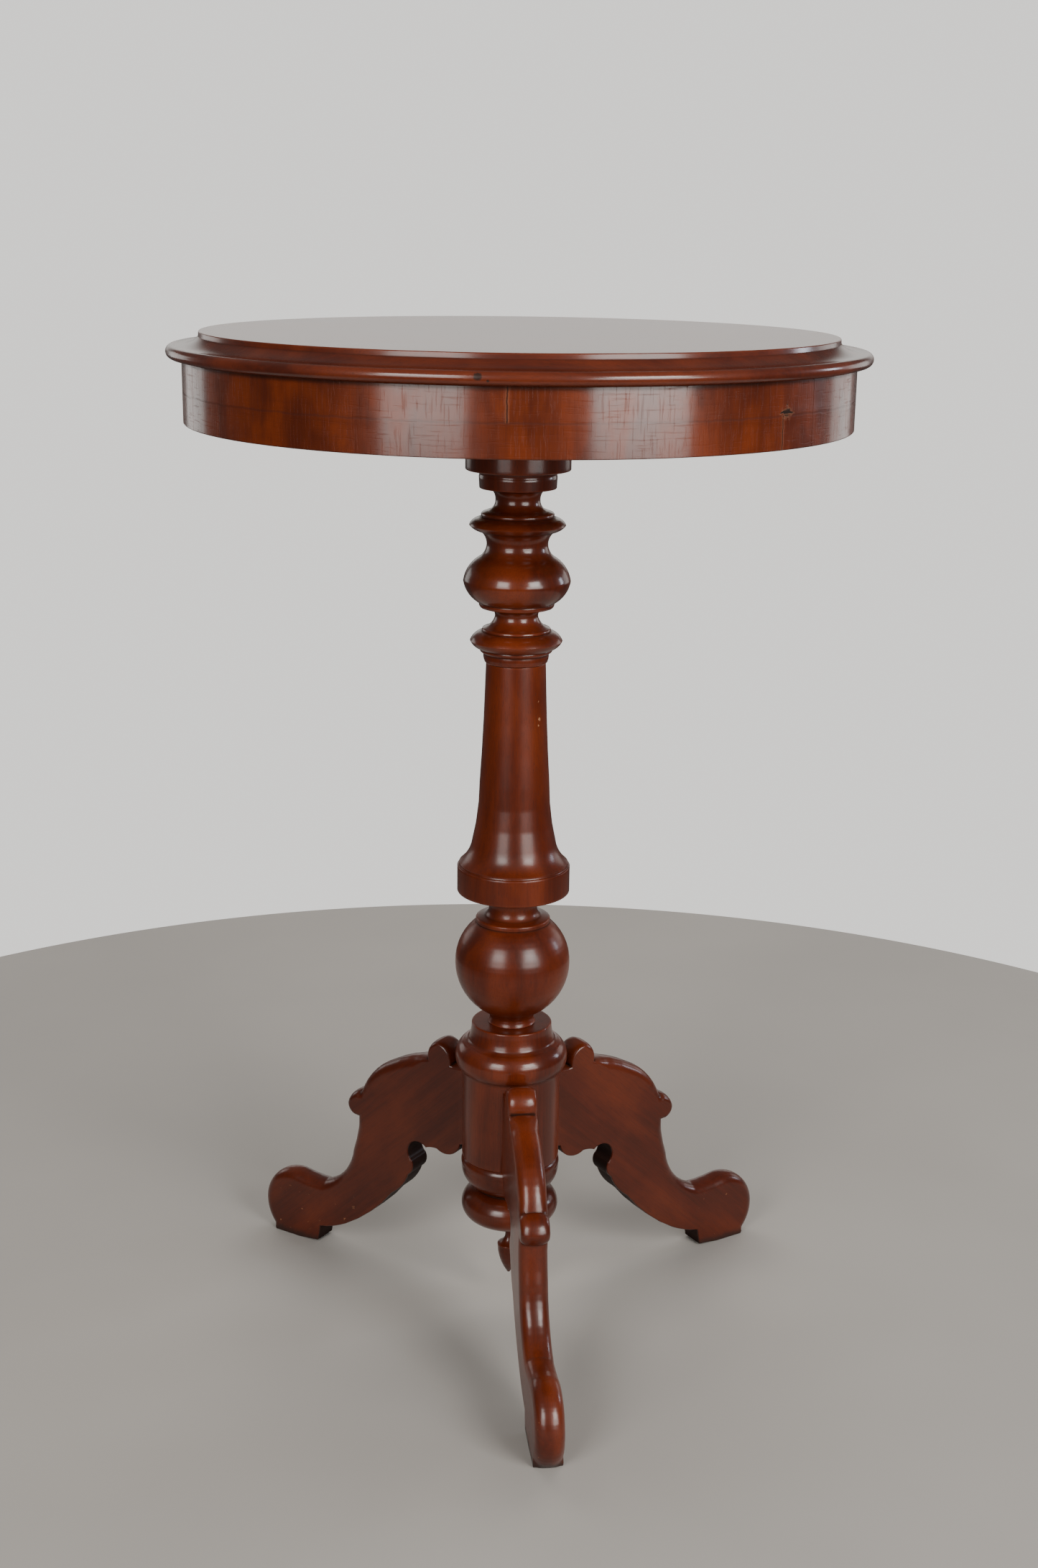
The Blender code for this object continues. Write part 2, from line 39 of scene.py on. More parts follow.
import bmesh
import bpy
import numpy as np
from bpy.props import FloatProperty, FloatVectorProperty, IntProperty, PointerProperty
from mathutils import Matrix, Vector

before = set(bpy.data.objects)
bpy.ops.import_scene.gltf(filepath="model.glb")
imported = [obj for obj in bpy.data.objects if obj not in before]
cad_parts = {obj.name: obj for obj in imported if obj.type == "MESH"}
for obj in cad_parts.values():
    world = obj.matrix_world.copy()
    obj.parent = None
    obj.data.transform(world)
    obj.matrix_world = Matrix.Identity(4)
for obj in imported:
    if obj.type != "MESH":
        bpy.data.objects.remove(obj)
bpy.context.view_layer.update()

MM = 0.001
BODY = "root"
GAP = 0.3  # millimetres between pieces that fit into each other


def top_of(node):
    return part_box(node)[1].z / MM


def foot_of(node):
    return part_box(node)[0].z / MM


HEIGHT = top_of("top_board")
BOARD_UNDER = foot_of("top_board")
RIM_RADIUS = 238.3
FRIEZE_INSET = 10.6
FRIEZE_TOP = top_of("frieze_veneer_1")
FRIEZE_BOTTOM = foot_of("frieze_veneer_1")
FRIEZE_RADIUS = RIM_RADIUS - FRIEZE_INSET
VENEER_THICKNESS = 0.7
BRICK_DEPTH = 21.0
BRICK_OUTER = FRIEZE_RADIUS - VENEER_THICKNESS - GAP
BRICK_INNER = BRICK_OUTER - BRICK_DEPTH
COURSE_MIDDLE = (top_of("frieze_brick_lower_1") + foot_of("frieze_brick_upper_1")) / 2
# Every turn is in degrees from the front towards +X.
COURSE_TURNS = {"upper": -1.6, "lower": 53.2}
CRACK_TURNS = {"upper": -1.6, "lower": 45.0}
DENT_TURN = 45.9
DENT_RISE = 2.0  # above the line between the courses
VENEER_TURN = 53.2
VENEER_SHEETS = 3
VENEER_GAP = 0.03  # degrees at each end of a sheet
BRICKS = 4
BRICK_GAP = 0.15  # degrees at each end of a brick
LEG_AZIMUTHS = {"front": 7.5, "right": 122.2, "left": -121.6}
LEG_THICKNESS = 20.8
LEG_ROUNDING = 8.2
# Painted light and shade: each leg's whole colour, the front leg lighter where the light falls on it and the
# side legs darker, besides the boards' own tones.
LEG_TONES_AND_LIGHT = (1.05, 0.86, 0.80)
SCROLL_SHARE = 0.4  # of the rounding, on the scroll at the leg's top
KNUCKLE_SHARE = 0.6  # of the rounding, on the bead under the knee
BASE_RADIUS = 36.6
FLAT_MARGIN = 1.8  # of the base's flat, beyond a leg's side
LEG_ROOT = sqrt(BASE_RADIUS**2 - (LEG_THICKNESS / 2 + FLAT_MARGIN) ** 2) + GAP


# ---------------------------------------------------------------- settings


class TableSizes(bpy.types.PropertyGroup):
    turned_sides: IntProperty(
        name="Turned sides", description="Facets round each turned piece", default=112, min=24, max=256)
    rim_sides: IntProperty(
        name="Rim sides", description="Facets round the top and the frieze", default=256, min=48, max=512)
    facet: FloatProperty(
        name="Facet length", description="Longest step along a moulding, in metres", default=0.0016,
        min=0.0004, max=0.01, subtype="DISTANCE", unit="LENGTH")
    leg_rounding: FloatProperty(
        name="Leg rounding", description="How far a leg's rounded edge eats into its side",
        default=LEG_ROUNDING * MM, min=0.0, max=0.01, subtype="DISTANCE", unit="LENGTH")
    arris: FloatProperty(
        name="Arris", description="Softening of the sharp edges under a leg", default=0.0007,
        min=0.0, max=0.002, subtype="DISTANCE", unit="LENGTH")


def colour(name, description, default):
    return FloatVectorProperty(
        name=name, description=description, default=default, size=3, subtype="COLOR", min=0, max=2)


class TableColours(bpy.types.PropertyGroup):
    heart: colour("Heart", "Dark streaks of the mahogany", (0.029, 0.0044, 0.0015))
    body: colour("Body", "Middle tone of the mahogany", (0.070, 0.0094, 0.0022))
    flame: colour("Flame", "Bright patches of the mahogany", (0.128, 0.0205, 0.0042))
    # Dirt and painted shade: this colour darkens the hollows, the undersides of the legs, the feet where they
    # meet the floor and the top of the frieze under the nose, and it fills the pores, knots, cracks and the
    # dent.
    dirt: colour("Dirt", "Old wax and dirt in the hollows", (0.012, 0.0050, 0.0030))
    veneer_dark: colour("Veneer shade", "Dark mottle of the frieze", (0.055, 0.0082, 0.0020))
    veneer_light: colour("Veneer light", "Light mottle of the frieze", (0.124, 0.0200, 0.0036))
    deal_light: colour("Deal", "Early wood of the deal inside", (0.420, 0.270, 0.130))
    deal_dark: colour("Deal rings", "Late wood of the deal inside", (0.230, 0.120, 0.048))
    steel: colour("Steel", "Old screws", (0.260, 0.245, 0.230))
    floor: colour("Floor", "Plain floor", (0.300, 0.282, 0.262))
    wall: colour("Surround", "Plain light surround", (1.150, 1.130, 1.090))


def sizes():
    return bpy.context.scene.table_sizes


def colours():
    return bpy.context.scene.table_colours


# Tones that no setting changes
DUST = (0.11, 0.085, 0.060)
RUST = (0.115, 0.045, 0.020)
BARE_LIP = (0.20, 0.065, 0.026)
BARE_DENT = (0.22, 0.11, 0.06)
BARE_CHIP = (0.42, 0.22, 0.11)
BARE_KNOCK = (0.33, 0.14, 0.06)


# ---------------------------------------------------------------- shader maths


class Value:
    """A number that varies over a surface, with ordinary arithmetic."""

    def __init__(self, maker, socket):
        self.maker = maker
        self.socket = socket

    def maths(self, operation, first, second=None):
        return self.maker.value("ShaderNodeMath", {"operation": operation}, {0: first, 1: second})

    def __add__(self, other):
        return self.maths("ADD", self, other)

    __radd__ = __add__

    def __sub__(self, other):
        return self.maths("SUBTRACT", self, other)

    def __rsub__(self, other):
        return self.maths("SUBTRACT", other, self)

    def __mul__(self, other):
        return self.maths("MULTIPLY", self, other)

    __rmul__ = __mul__

    def __neg__(self):
        return self.maths("MULTIPLY", self, -1.0)

    def __abs__(self):
        return self.maths("ABSOLUTE", self)

    def step(self, low, high):
        """0 below low, 1 above high and a smooth rise between, or a fall where low is over high."""
        rising = low < high
        settings = {"interpolation_type": "SMOOTHSTEP"}
        ends = {1: min(low, high), 2: max(low, high), 3: 0.0 if rising else 1.0, 4: 1.0 if rising else 0.0}
        return self.maker.value("ShaderNodeMapRange", settings, {0: self, **ends})


class Nodes:
    """A shader tree, with a method that adds any node."""

    def __init__(self, tree):
        self.tree = tree

    def node(self, kind, settings=None, inputs=None):
        made = self.tree.nodes.new(kind)
        for key, setting in (settings or {}).items():
            setattr(made, key, setting)
        for key, given in (inputs or {}).items():
            self.feed(made.inputs[key], given)
        return made

    def feed(self, socket, given):
        if isinstance(given, Value):
            given = given.socket
        if isinstance(given, bpy.types.NodeSocket):
            self.tree.links.new(given, socket)
        elif given is not None:
            wants_alpha = socket.type == "RGBA" and len(given) == 3
            socket.default_value = (*given, 1.0) if wants_alpha else given

    def value(self, kind, settings=None, inputs=None, output=0):
        return Value(self, self.node(kind, settings, inputs).outputs[output])

    def mix(self, factor, first, second, blend="MIX"):
        """Two colours mixed. A Mix node's colours are its sockets 6 and 7, and its result is output 2."""
        settings = {"data_type": "RGBA", "blend_type": blend}
        return self.node("ShaderNodeMix", settings, {0: factor, 6: first, 7: second}).outputs[2]

    def coats(self, base, *laid):
        """A colour with others laid over it in turn, each given as (share, colour)."""
        for share, coat in laid:
            base = self.mix(share, base, coat)
        return base

    def vector(self, operation, first, second, output=0):
        made = self.node("ShaderNodeVectorMath", {"operation": operation}, {0: first, 1: second})
        return made.outputs[output]

    def here(self):
        return self.node("ShaderNodeTexCoord").outputs["Object"]

    def place(self, turns, shift):
        """Object coordinates, turned about one axis after another so that the grain runs along X."""
        spot = self.here()
        for axis, turn in turns:
            inputs = {"Vector": spot, "Angle": radians(turn)}
            spot = self.node("ShaderNodeVectorRotate", {"rotation_type": f"{axis}_AXIS"}, inputs).outputs[0]
        return self.vector("ADD", spot, shift)

    def noise(self, spot, scale, detail=3.0, rough=0.5, twist=0.0):
        """Noise from 0 to 1. The scale is in cells to the metre along each axis."""
        inputs = {"Vector": self.vector("MULTIPLY", spot, scale), "Scale": 1.0, "Detail": detail,
                  "Roughness": rough, "Distortion": twist}
        return self.value("ShaderNodeTexNoise", None, inputs)

    def attribute(self, name):
        return self.value("ShaderNodeAttribute", {"attribute_name": name}, None, 2)

    def parts(self, spot):
        """The three numbers of a vector."""
        split = self.node("ShaderNodeSeparateXYZ", None, {0: spot})
        return [Value(self, output) for output in split.outputs]

    def mark(self, spot, centre, edge, core, cells, wander):
        """A small mark with a ragged outline: 0 beyond its edge and 1 within its core, in metres."""
        away = Value(self, self.vector("DISTANCE", spot, centre, 1))
        return (away + (self.noise(spot, cells) - 0.5) * wander).step(edge, core)

    def bump(self, height, distance, strength):
        inputs = {"Height": height, "Distance": distance, "Strength": strength}
        return self.node("ShaderNodeBump", None, inputs).outputs[0]


class Finish(Nodes):
    """One material round a Principled shader."""

    def __init__(self, name):
        self.material = bpy.data.materials.new(name)
        self.material.use_nodes = True
        super().__init__(self.material.node_tree)
        self.shader = self.tree.nodes["Principled BSDF"]

    def finish(self, **inputs):
        for key, given in inputs.items():
            self.feed(self.shader.inputs[key.replace("_", " ")], given)
        return self.material


def polished_mahogany(name, turns=(), shift=(0.0, 0.0, 0.0), ground=None, polish=1.0, tone=1.0, haze=0.18):
    """French-polished mahogany: flame and streaks along X, short pores, hollows painted dark with dirt and
    painted shade, and rubbed edges.
    The ground, if given, is a function that adds marks of its own: (colour, roughness, height)."""
    tones = colours()
    wood = Finish(name)
    spot = wood.place(turns, shift)
    flame = wood.noise(spot, (4.0, 26.0, 26.0), 2.0, 0.45, 0.6)
    streak = wood.noise(spot, (14.0, 330.0, 330.0), 3.0, 0.6, 0.3)
    fibre = wood.noise(spot, (60.0, 1500.0, 1500.0), 2.0, 0.6)
    blotch = wood.noise(spot, (16.0, 22.0, 22.0), 3.0, 0.55, 0.4)
    pores = wood.noise(spot, (170.0, 2600.0, 2600.0), 1.0, 0.5).step(0.62, 0.72)
    relief = wood.attribute("relief")
    # Dirt and painted shade: deep hollows, and faces marked as hollows such as the legs' undersides, are
    # painted dark and dull.
    hollow = (relief + (blotch - 0.5) * 0.5).step(0.16, 0.85)
    edge = (-relief + (streak - 0.5) * 0.4).step(0.28, 0.95)
    body = wood.mix((flame * 0.6 + streak * 0.5).step(0.40, 0.66) * 0.6 + 0.4, tones.heart, tones.body)
    body = wood.coats(
        body,
        ((flame * 0.5 + blotch * 0.6).step(0.44, 0.80) * 0.8, tones.flame),
        (fibre.step(0.42, 0.66) * 0.22, tones.heart),
        (pores * 0.45, tones.dirt),
        (edge * 0.35, tones.flame),
        (hollow * 0.85, tones.dirt))
    # Painted light and shade: the tone lightens or darkens a piece's whole colour, set for how the light
    # falls on it as well as for its wood.
    body = wood.mix(1.0, body, (tone, tone, tone), "MULTIPLY")
    rough = 0.30 + blotch * 0.12 + hollow * 0.30 + pores * 0.10
    sway = wood.noise(spot, (30.0, 60.0, 60.0), 2.0, 0.5)
    height = sway * 0.35 + streak * 0.05 - pores * 0.10 - hollow * 0.10
    if ground:
        body, rough, height = ground(wood, body, rough, height)
    return wood.finish(
        Base_Color=body, Roughness=rough, Normal=wood.bump(height, 0.0005, 0.20), Specular_IOR_Level=0.12,
        Coat_Weight=(0.72 - hollow * 0.66 - edge * 0.05) * polish, Coat_Roughness=haze)


def old_deal(name, turns=(), shift=(0.0, 0.0, 0.0), dust=0.35):
    """Unpolished softwood: growth rings along X, saw marks across, grey dust in patches."""
    tones = colours()
    wood = Finish(name)
    spot = wood.place(turns, shift)
    bend = wood.noise(spot, (5.0, 14.0, 14.0), 2.0, 0.5)
    rings = wood.noise(spot, (6.0, 210.0, 90.0), 2.0, 0.55, 0.8)
    fibres = wood.noise(spot, (60.0, 1600.0, 1600.0), 2.0, 0.6)
    saw = wood.noise(spot, (900.0, 40.0, 40.0), 1.0, 0.5)
    patch = wood.noise(spot, (24.0, 24.0, 24.0), 4.0, 0.6)
    late = (rings * 0.8 + bend * 0.3).step(0.50, 0.66)
    body = wood.coats(
        tones.deal_light,
        (late, tones.deal_dark),
        (fibres.step(0.35, 0.75) * 0.35, tones.deal_dark),
        (patch.step(0.48, 0.78) * dust, DUST))
    height = fibres * 0.4 + saw * 0.5 - late * 0.2
    return wood.finish(
        Base_Color=body, Roughness=0.66 + patch * 0.2, Normal=wood.bump(height, 0.0004, 0.7), Coat_Weight=0.0)


def old_steel(name):
    metal = Finish(name)
    spot = metal.here()
    rust = metal.noise(spot, (420.0, 420.0, 420.0), 4.0, 0.65).step(0.52, 0.70)
    scratch = metal.noise(spot, (300.0, 3000.0, 300.0), 2.0, 0.6)
    return metal.finish(
        Base_Color=metal.mix(rust, colours().steel, RUST), Metallic=1.0 - rust * 0.8,
        Roughness=0.36 + rust * 0.45 + scratch * 0.1,
        Normal=metal.bump(rust * 0.5 + scratch * 0.3, 0.0002, 0.6))


# ---------------------------------------------------------------- outlines and meshes


ARC_STEP = 7.0  # degrees


def arc(start, end, bulge):
    """Points from start to end on a circle, without the start. The bulge is the rise over half the chord; a
    positive one swells to the left of the way from start to end."""
    if not bulge:
        return [end]
    (x0, y0), (x1, y1) = start, end
    half = hypot(x1 - x0, y1 - y0) / 2
    rise = bulge * half
    radius = (half * half + rise * rise) / (2 * rise)
    along = ((x1 - x0) / (2 * half), (y1 - y0) / (2 * half))
    left = (-along[1], along[0])
    centre = [(a + b) / 2 + l * (rise - radius) for a, b, l in zip(start, end, left)]
    first = atan2(y0 - centre[1], x0 - centre[0])
    sweep = -4 * atan(bulge)
    steps = max(3, ceil(abs(sweep) / radians(ARC_STEP)))
    reach = abs(radius)
    turns = [first + sweep * i / steps for i in range(1, steps)]
    return [(centre[0] + reach * cos(t), centre[1] + reach * sin(t)) for t in turns] + [end]


def outline(start, moves):
    """The points of an outline: each move is (x, y), or (x, y, bulge) for an arc."""
    points = [start]
    for move in moves:
        points += arc(points[-1], (move[0], move[1]), move[2] if len(move) > 2 else 0.0)
    return points


def fine(points, longest):
    """The same outline with each long step cut up, so that what is measured along it has places to sit."""
    made = [points[0]]
    for (x0, y0), (x1, y1) in zip(points, points[1:]):
        parts = max(1, ceil(hypot(x1 - x0, y1 - y0) / longest))
        made += [(x0 + (x1 - x0) * i / parts, y0 + (y1 - y0) * i / parts) for i in range(1, parts + 1)]
    return made


def relief_of(points, reach=2.4, closed=False):
    """From -1 on a sharp edge through 0 on the flat to 1 in a sharp hollow, for each point of an outline. It
    looks a reach to either side, in millimetres."""
    chain = np.array(points[-1:] + points + points[:1] if closed else points)
    run = np.concatenate([[0.0], np.cumsum(np.hypot(*np.diff(chain, axis=0).T))])
    before, after = (
        np.stack([np.interp(run + side, run, chain[:, axis]) for axis in (0, 1)], 1)
        for side in (-reach, reach))
    across = np.stack([before[:, 1] - after[:, 1], after[:, 0] - before[:, 0]], 1)
    across /= np.maximum(np.hypot(*across.T), 1e-9)[:, None]
    bend = np.clip((((before + after) / 2 - chain) * across).sum(1) * 1.4 / reach, -1, 1)
    return list(bend[1:-1] if closed else bend)


def placed(name, data):
    """A new object of the scene."""
    obj = bpy.data.objects.new(name, data)
    bpy.context.scene.collection.objects.link(obj)
    return obj


def piece(name, mesh, finish, slot, *nodes, sharp=38.0):
    """A finished object on the table's one body, in the place of its CAD nodes."""
    mesh.shade_smooth()
    mesh.set_sharp_from_angle(angle=radians(sharp))
    mesh.materials.clear()
    mesh.materials.append(finish)
    mesh.polygons.foreach_set("material_index", np.zeros(len(mesh.polygons), dtype=np.int32))
    obj = placed(name, mesh)
    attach(obj, BODY)
    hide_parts(*nodes)
    return obj


def plain_mesh(name, bm):
    mesh = bpy.data.meshes.new(name)
    bm.to_mesh(mesh)
    bm.free()
    return mesh


def mesh_of(name, bm):
    """The mesh of a bmesh in millimetres, closed and facing out."""
    bmesh.ops.scale(bm, vec=(MM, MM, MM), verts=bm.verts)
    bmesh.ops.recalc_face_normals(bm, faces=bm.faces)
    return plain_mesh(name, bm)


def close_rows(bm, rows):
    """Faces between rows of vertices that each go round a section, and over the first and the last."""
    for one, two in zip(rows, rows[1:]):
        for i in range(len(one)):
            j = (i + 1) % len(one)
            bm.faces.new((one[i], one[j], two[j], two[i]))
    bm.faces.new(rows[0])
    bm.faces.new(rows[-1][::-1])


def geometry_tree(name, inputs, kinds, links):
    """A geometry tree, its nodes, and its inputs' identifiers. It ends in Realize Instances, called real, and
    Set Material. Each link is (node, output, node, input), and the node of the inputs is called given."""
    tree = bpy.data.node_groups.new(name, "GeometryNodeTree")
    identifiers = {}
    for label, kind in {**inputs, "Finish": "Material"}.items():
        made = tree.interface.new_socket(name=label, in_out="INPUT", socket_type=f"NodeSocket{kind}")
        identifiers[label] = made.identifier
    tree.interface.new_socket(name="Geometry", in_out="OUTPUT", socket_type="NodeSocketGeometry")
    ends = {"given": "NodeGroupInput", "real": "GeometryNodeRealizeInstances",
            "painted": "GeometryNodeSetMaterial", "result": "NodeGroupOutput"}
    nodes = {key: tree.nodes.new(kind) for key, kind in {**ends, **kinds}.items()}
    for start, output, end, taken in (
        *links,
        ("real", "Geometry", "painted", "Geometry"),
        ("given", "Finish", "painted", "Material"),
        ("painted", "Geometry", "result", "Geometry"),
    ):
        tree.links.new(nodes[start].outputs[output], nodes[end].inputs[taken])
    return tree, nodes, identifiers


def turning_tree():
    """Geometry nodes that turn an outline about the axis. The outline's X is its radius less one metre and
    its Y runs down, because Curve to Mesh carries it round a circle of one metre."""
    tree, nodes, identifiers = geometry_tree(
        "Turning",
        {"Outline": "Geometry", "Sides": "Int"},
        {"profile": "GeometryNodeMeshToCurve", "circle": "GeometryNodeCurvePrimitiveCircle",
         "swept": "GeometryNodeCurveToMesh", "merged": "GeometryNodeMergeByDistance"},
        (
            ("given", "Outline", "profile", "Mesh"),
            ("given", "Sides", "circle", "Resolution"),
            ("circle", "Curve", "swept", "Curve"),
            ("profile", "Curve", "swept", "Profile Curve"),
            ("swept", "Mesh", "merged", "Geometry"),
            ("merged", "Geometry", "real", "Geometry"),
        ))
    nodes["circle"].inputs["Radius"].default_value = 1.0
    nodes["merged"].inputs["Distance"].default_value = 0.000005
    return tree, identifiers


def scatter_tree():
    """Geometry nodes that set a copy of one shape on each point, turned about Z by the point's own angle."""
    tree, nodes, identifiers = geometry_tree(
        "Scatter",
        {"Points": "Geometry", "Shape": "Object"},
        {"source": "GeometryNodeObjectInfo", "angle": "GeometryNodeInputNamedAttribute",
         "turn": "ShaderNodeCombineXYZ", "copies": "GeometryNodeInstanceOnPoints"},
        (
            ("given", "Points", "copies", "Points"),
            ("given", "Shape", "source", "Object"),
            ("source", "Geometry", "copies", "Instance"),
            ("angle", "Attribute", "turn", "Z"),
            ("turn", "Vector", "copies", "Rotation"),
            ("copies", "Instances", "real", "Geometry"),
        ))
    nodes["angle"].data_type = "FLOAT"
    nodes["angle"].inputs["Name"].default_value = "turn"
    return tree, identifiers


def evaluated_mesh(obj):
    graph = bpy.context.evaluated_depsgraph_get()
    return bpy.data.meshes.new_from_object(obj.evaluated_get(graph))


def made_by(tree, identifiers, name, mesh, **inputs):
    """The plain mesh that a geometry tree makes of a mesh. Both the tree and the mesh are used up."""
    maker = placed(name + "_maker", mesh)
    modifier = maker.modifiers.new(tree.name, "NODES")
    modifier.node_group = tree
    for label, given in inputs.items():
        modifier[identifiers[label]] = given
    made = evaluated_mesh(maker)
    maker.modifiers.remove(modifier)
    bpy.data.objects.remove(maker, do_unlink=True)
    bpy.data.meshes.remove(mesh)
    bpy.data.node_groups.remove(tree)
    made.name = name
    return made


def spun(name, profile, sides, finish, relief=None):
    """An outline in (radius, height), top to bottom on its outside, turned about the axis."""
    mesh = bpy.data.meshes.new(name)
    points = [(radius * MM - 1.0, -height * MM, 0.0) for radius, height in profile]
    mesh.from_pydata(points, [(i, i + 1) for i in range(len(points) - 1)], [])
    if relief:
        mesh.attributes.new("relief", "FLOAT", "POINT").data.foreach_set("value", relief)
    made = made_by(*turning_tree(), name, mesh, Sides=sides, Finish=finish)
    bm = bmesh.new()
    bm.from_mesh(made)
    bmesh.ops.recalc_face_normals(bm, faces=bm.faces)
    bm.to_mesh(made)
    bm.free()
    return made


def turned(name, profile, sides, finish):
    """A turned piece with its relief, from an outline whose long steps are cut up."""
    profile = fine(profile, sizes().facet / MM)
    return spun(name, profile, sides, finish, relief_of(profile))


def ring_sector(profile, first, last, steps):
    """A closed outline of (radius, height) swept from one azimuth to another. Its UV map is in metres, along
    the sweep and up."""
    bm = bmesh.new()
    uv = bm.loops.layers.uv.new("Sheet")
    cuts = []
    for i in range(steps + 1):
        turn = radians(first + (last - first) * i / steps)
        cuts.append([bm.verts.new((r * sin(turn), -r * cos(turn), z)) for r, z in profile])
    close_rows(bm, cuts)
    for face in bm.faces:
        middle = face.calc_center_median()
        base = atan2(middle.x, -middle.y)
        for loop in face.loops:
            x, y, z = loop.vert.co
            turn = atan2(x, -y)
            turn += 2 * pi * round((base - turn) / (2 * pi))
            loop[uv].uv = (turn * FRIEZE_RADIUS * MM, z * MM)
    return bm


# ---------------------------------------------------------------- the top and the frieze


def board_profile():
    """Raised panel, hollow, nose and the small quirk that leads back to the frieze."""
    top, nose, under = HEIGHT, RIM_RADIUS, BOARD_UNDER
    panel = nose - 22.2
    return outline(
        (0.0, top),
        [
            (panel - 0.8, top), (panel, top - 0.8, 0.41), (panel + 0.2, top - 3.4),
            (nose - 4.4, top - 8.9, -0.30), (nose - 2.6, top - 9.2), (nose - 2.6, under + 1.2, 0.62),
            (nose - 6.4, under + 0.6), (nose - 7.4, under), (0.0, under),
        ],
    )


def around(reach, turn, level):
    """A point in metres, from its reach and height in millimetres and its azimuth in degrees."""
    return (reach * MM * sin(radians(turn)), -reach * MM * cos(radians(turn)), level * MM)


# Azimuth, millimetres below the top, and size: a filled knot, and a bruise near it
KNOTS = ((-5.6, 12.0, 2.6), (-4.2, 14.6, 1.2))


def filled_knot(wood, body, rough, height):
    """Dark marks on the front of the nose, and faint streaks across the flat of the top."""
    tones = colours()
    spot = wood.here()
    lateral = wood.noise(spot, (3.0, 150.0, 20.0), 3.0, 0.6, 0.4)
    _, _, up = wood.parts(spot)
    panel = up.step((HEIGHT - 0.6) * MM, (HEIGHT - 0.2) * MM)
    streaks = lateral.step(0.36, 0.74) * panel * 0.40
    body = wood.coats(body, (streaks, tones.flame), (panel * 0.25, tones.flame))
    rough = rough + lateral * 0.25
    height = height + lateral * 0.5
    for turn, drop, size in KNOTS:
        centre = around(RIM_RADIUS, turn, HEIGHT - drop)
        mark = wood.mark(spot, centre, size * MM * 1.15, size * MM * 0.7, (700.0,) * 3, 0.0018)
        body = wood.mix(mark * 0.9, body, tones.dirt)
        rough = rough + mark * 0.3
        height = height - mark * 0.5
    return body, rough, height


class TABLE_OT_top(bpy.types.Operator):
    """Turn the moulded top board"""

    bl_idname = "table.top"
    bl_label = "Top"

    def execute(self, context):
        finish = polished_mahogany("Top mahogany", (("Z", 4.0),), (0.3, 0.1, 0.0), filled_knot, polish=1.25)
        mesh = turned("top_board_polished", board_profile(), sizes().rim_sides, finish)
        piece("top_board_polished", mesh, finish, "top_mahogany", "top_board")
        return {"FINISHED"}


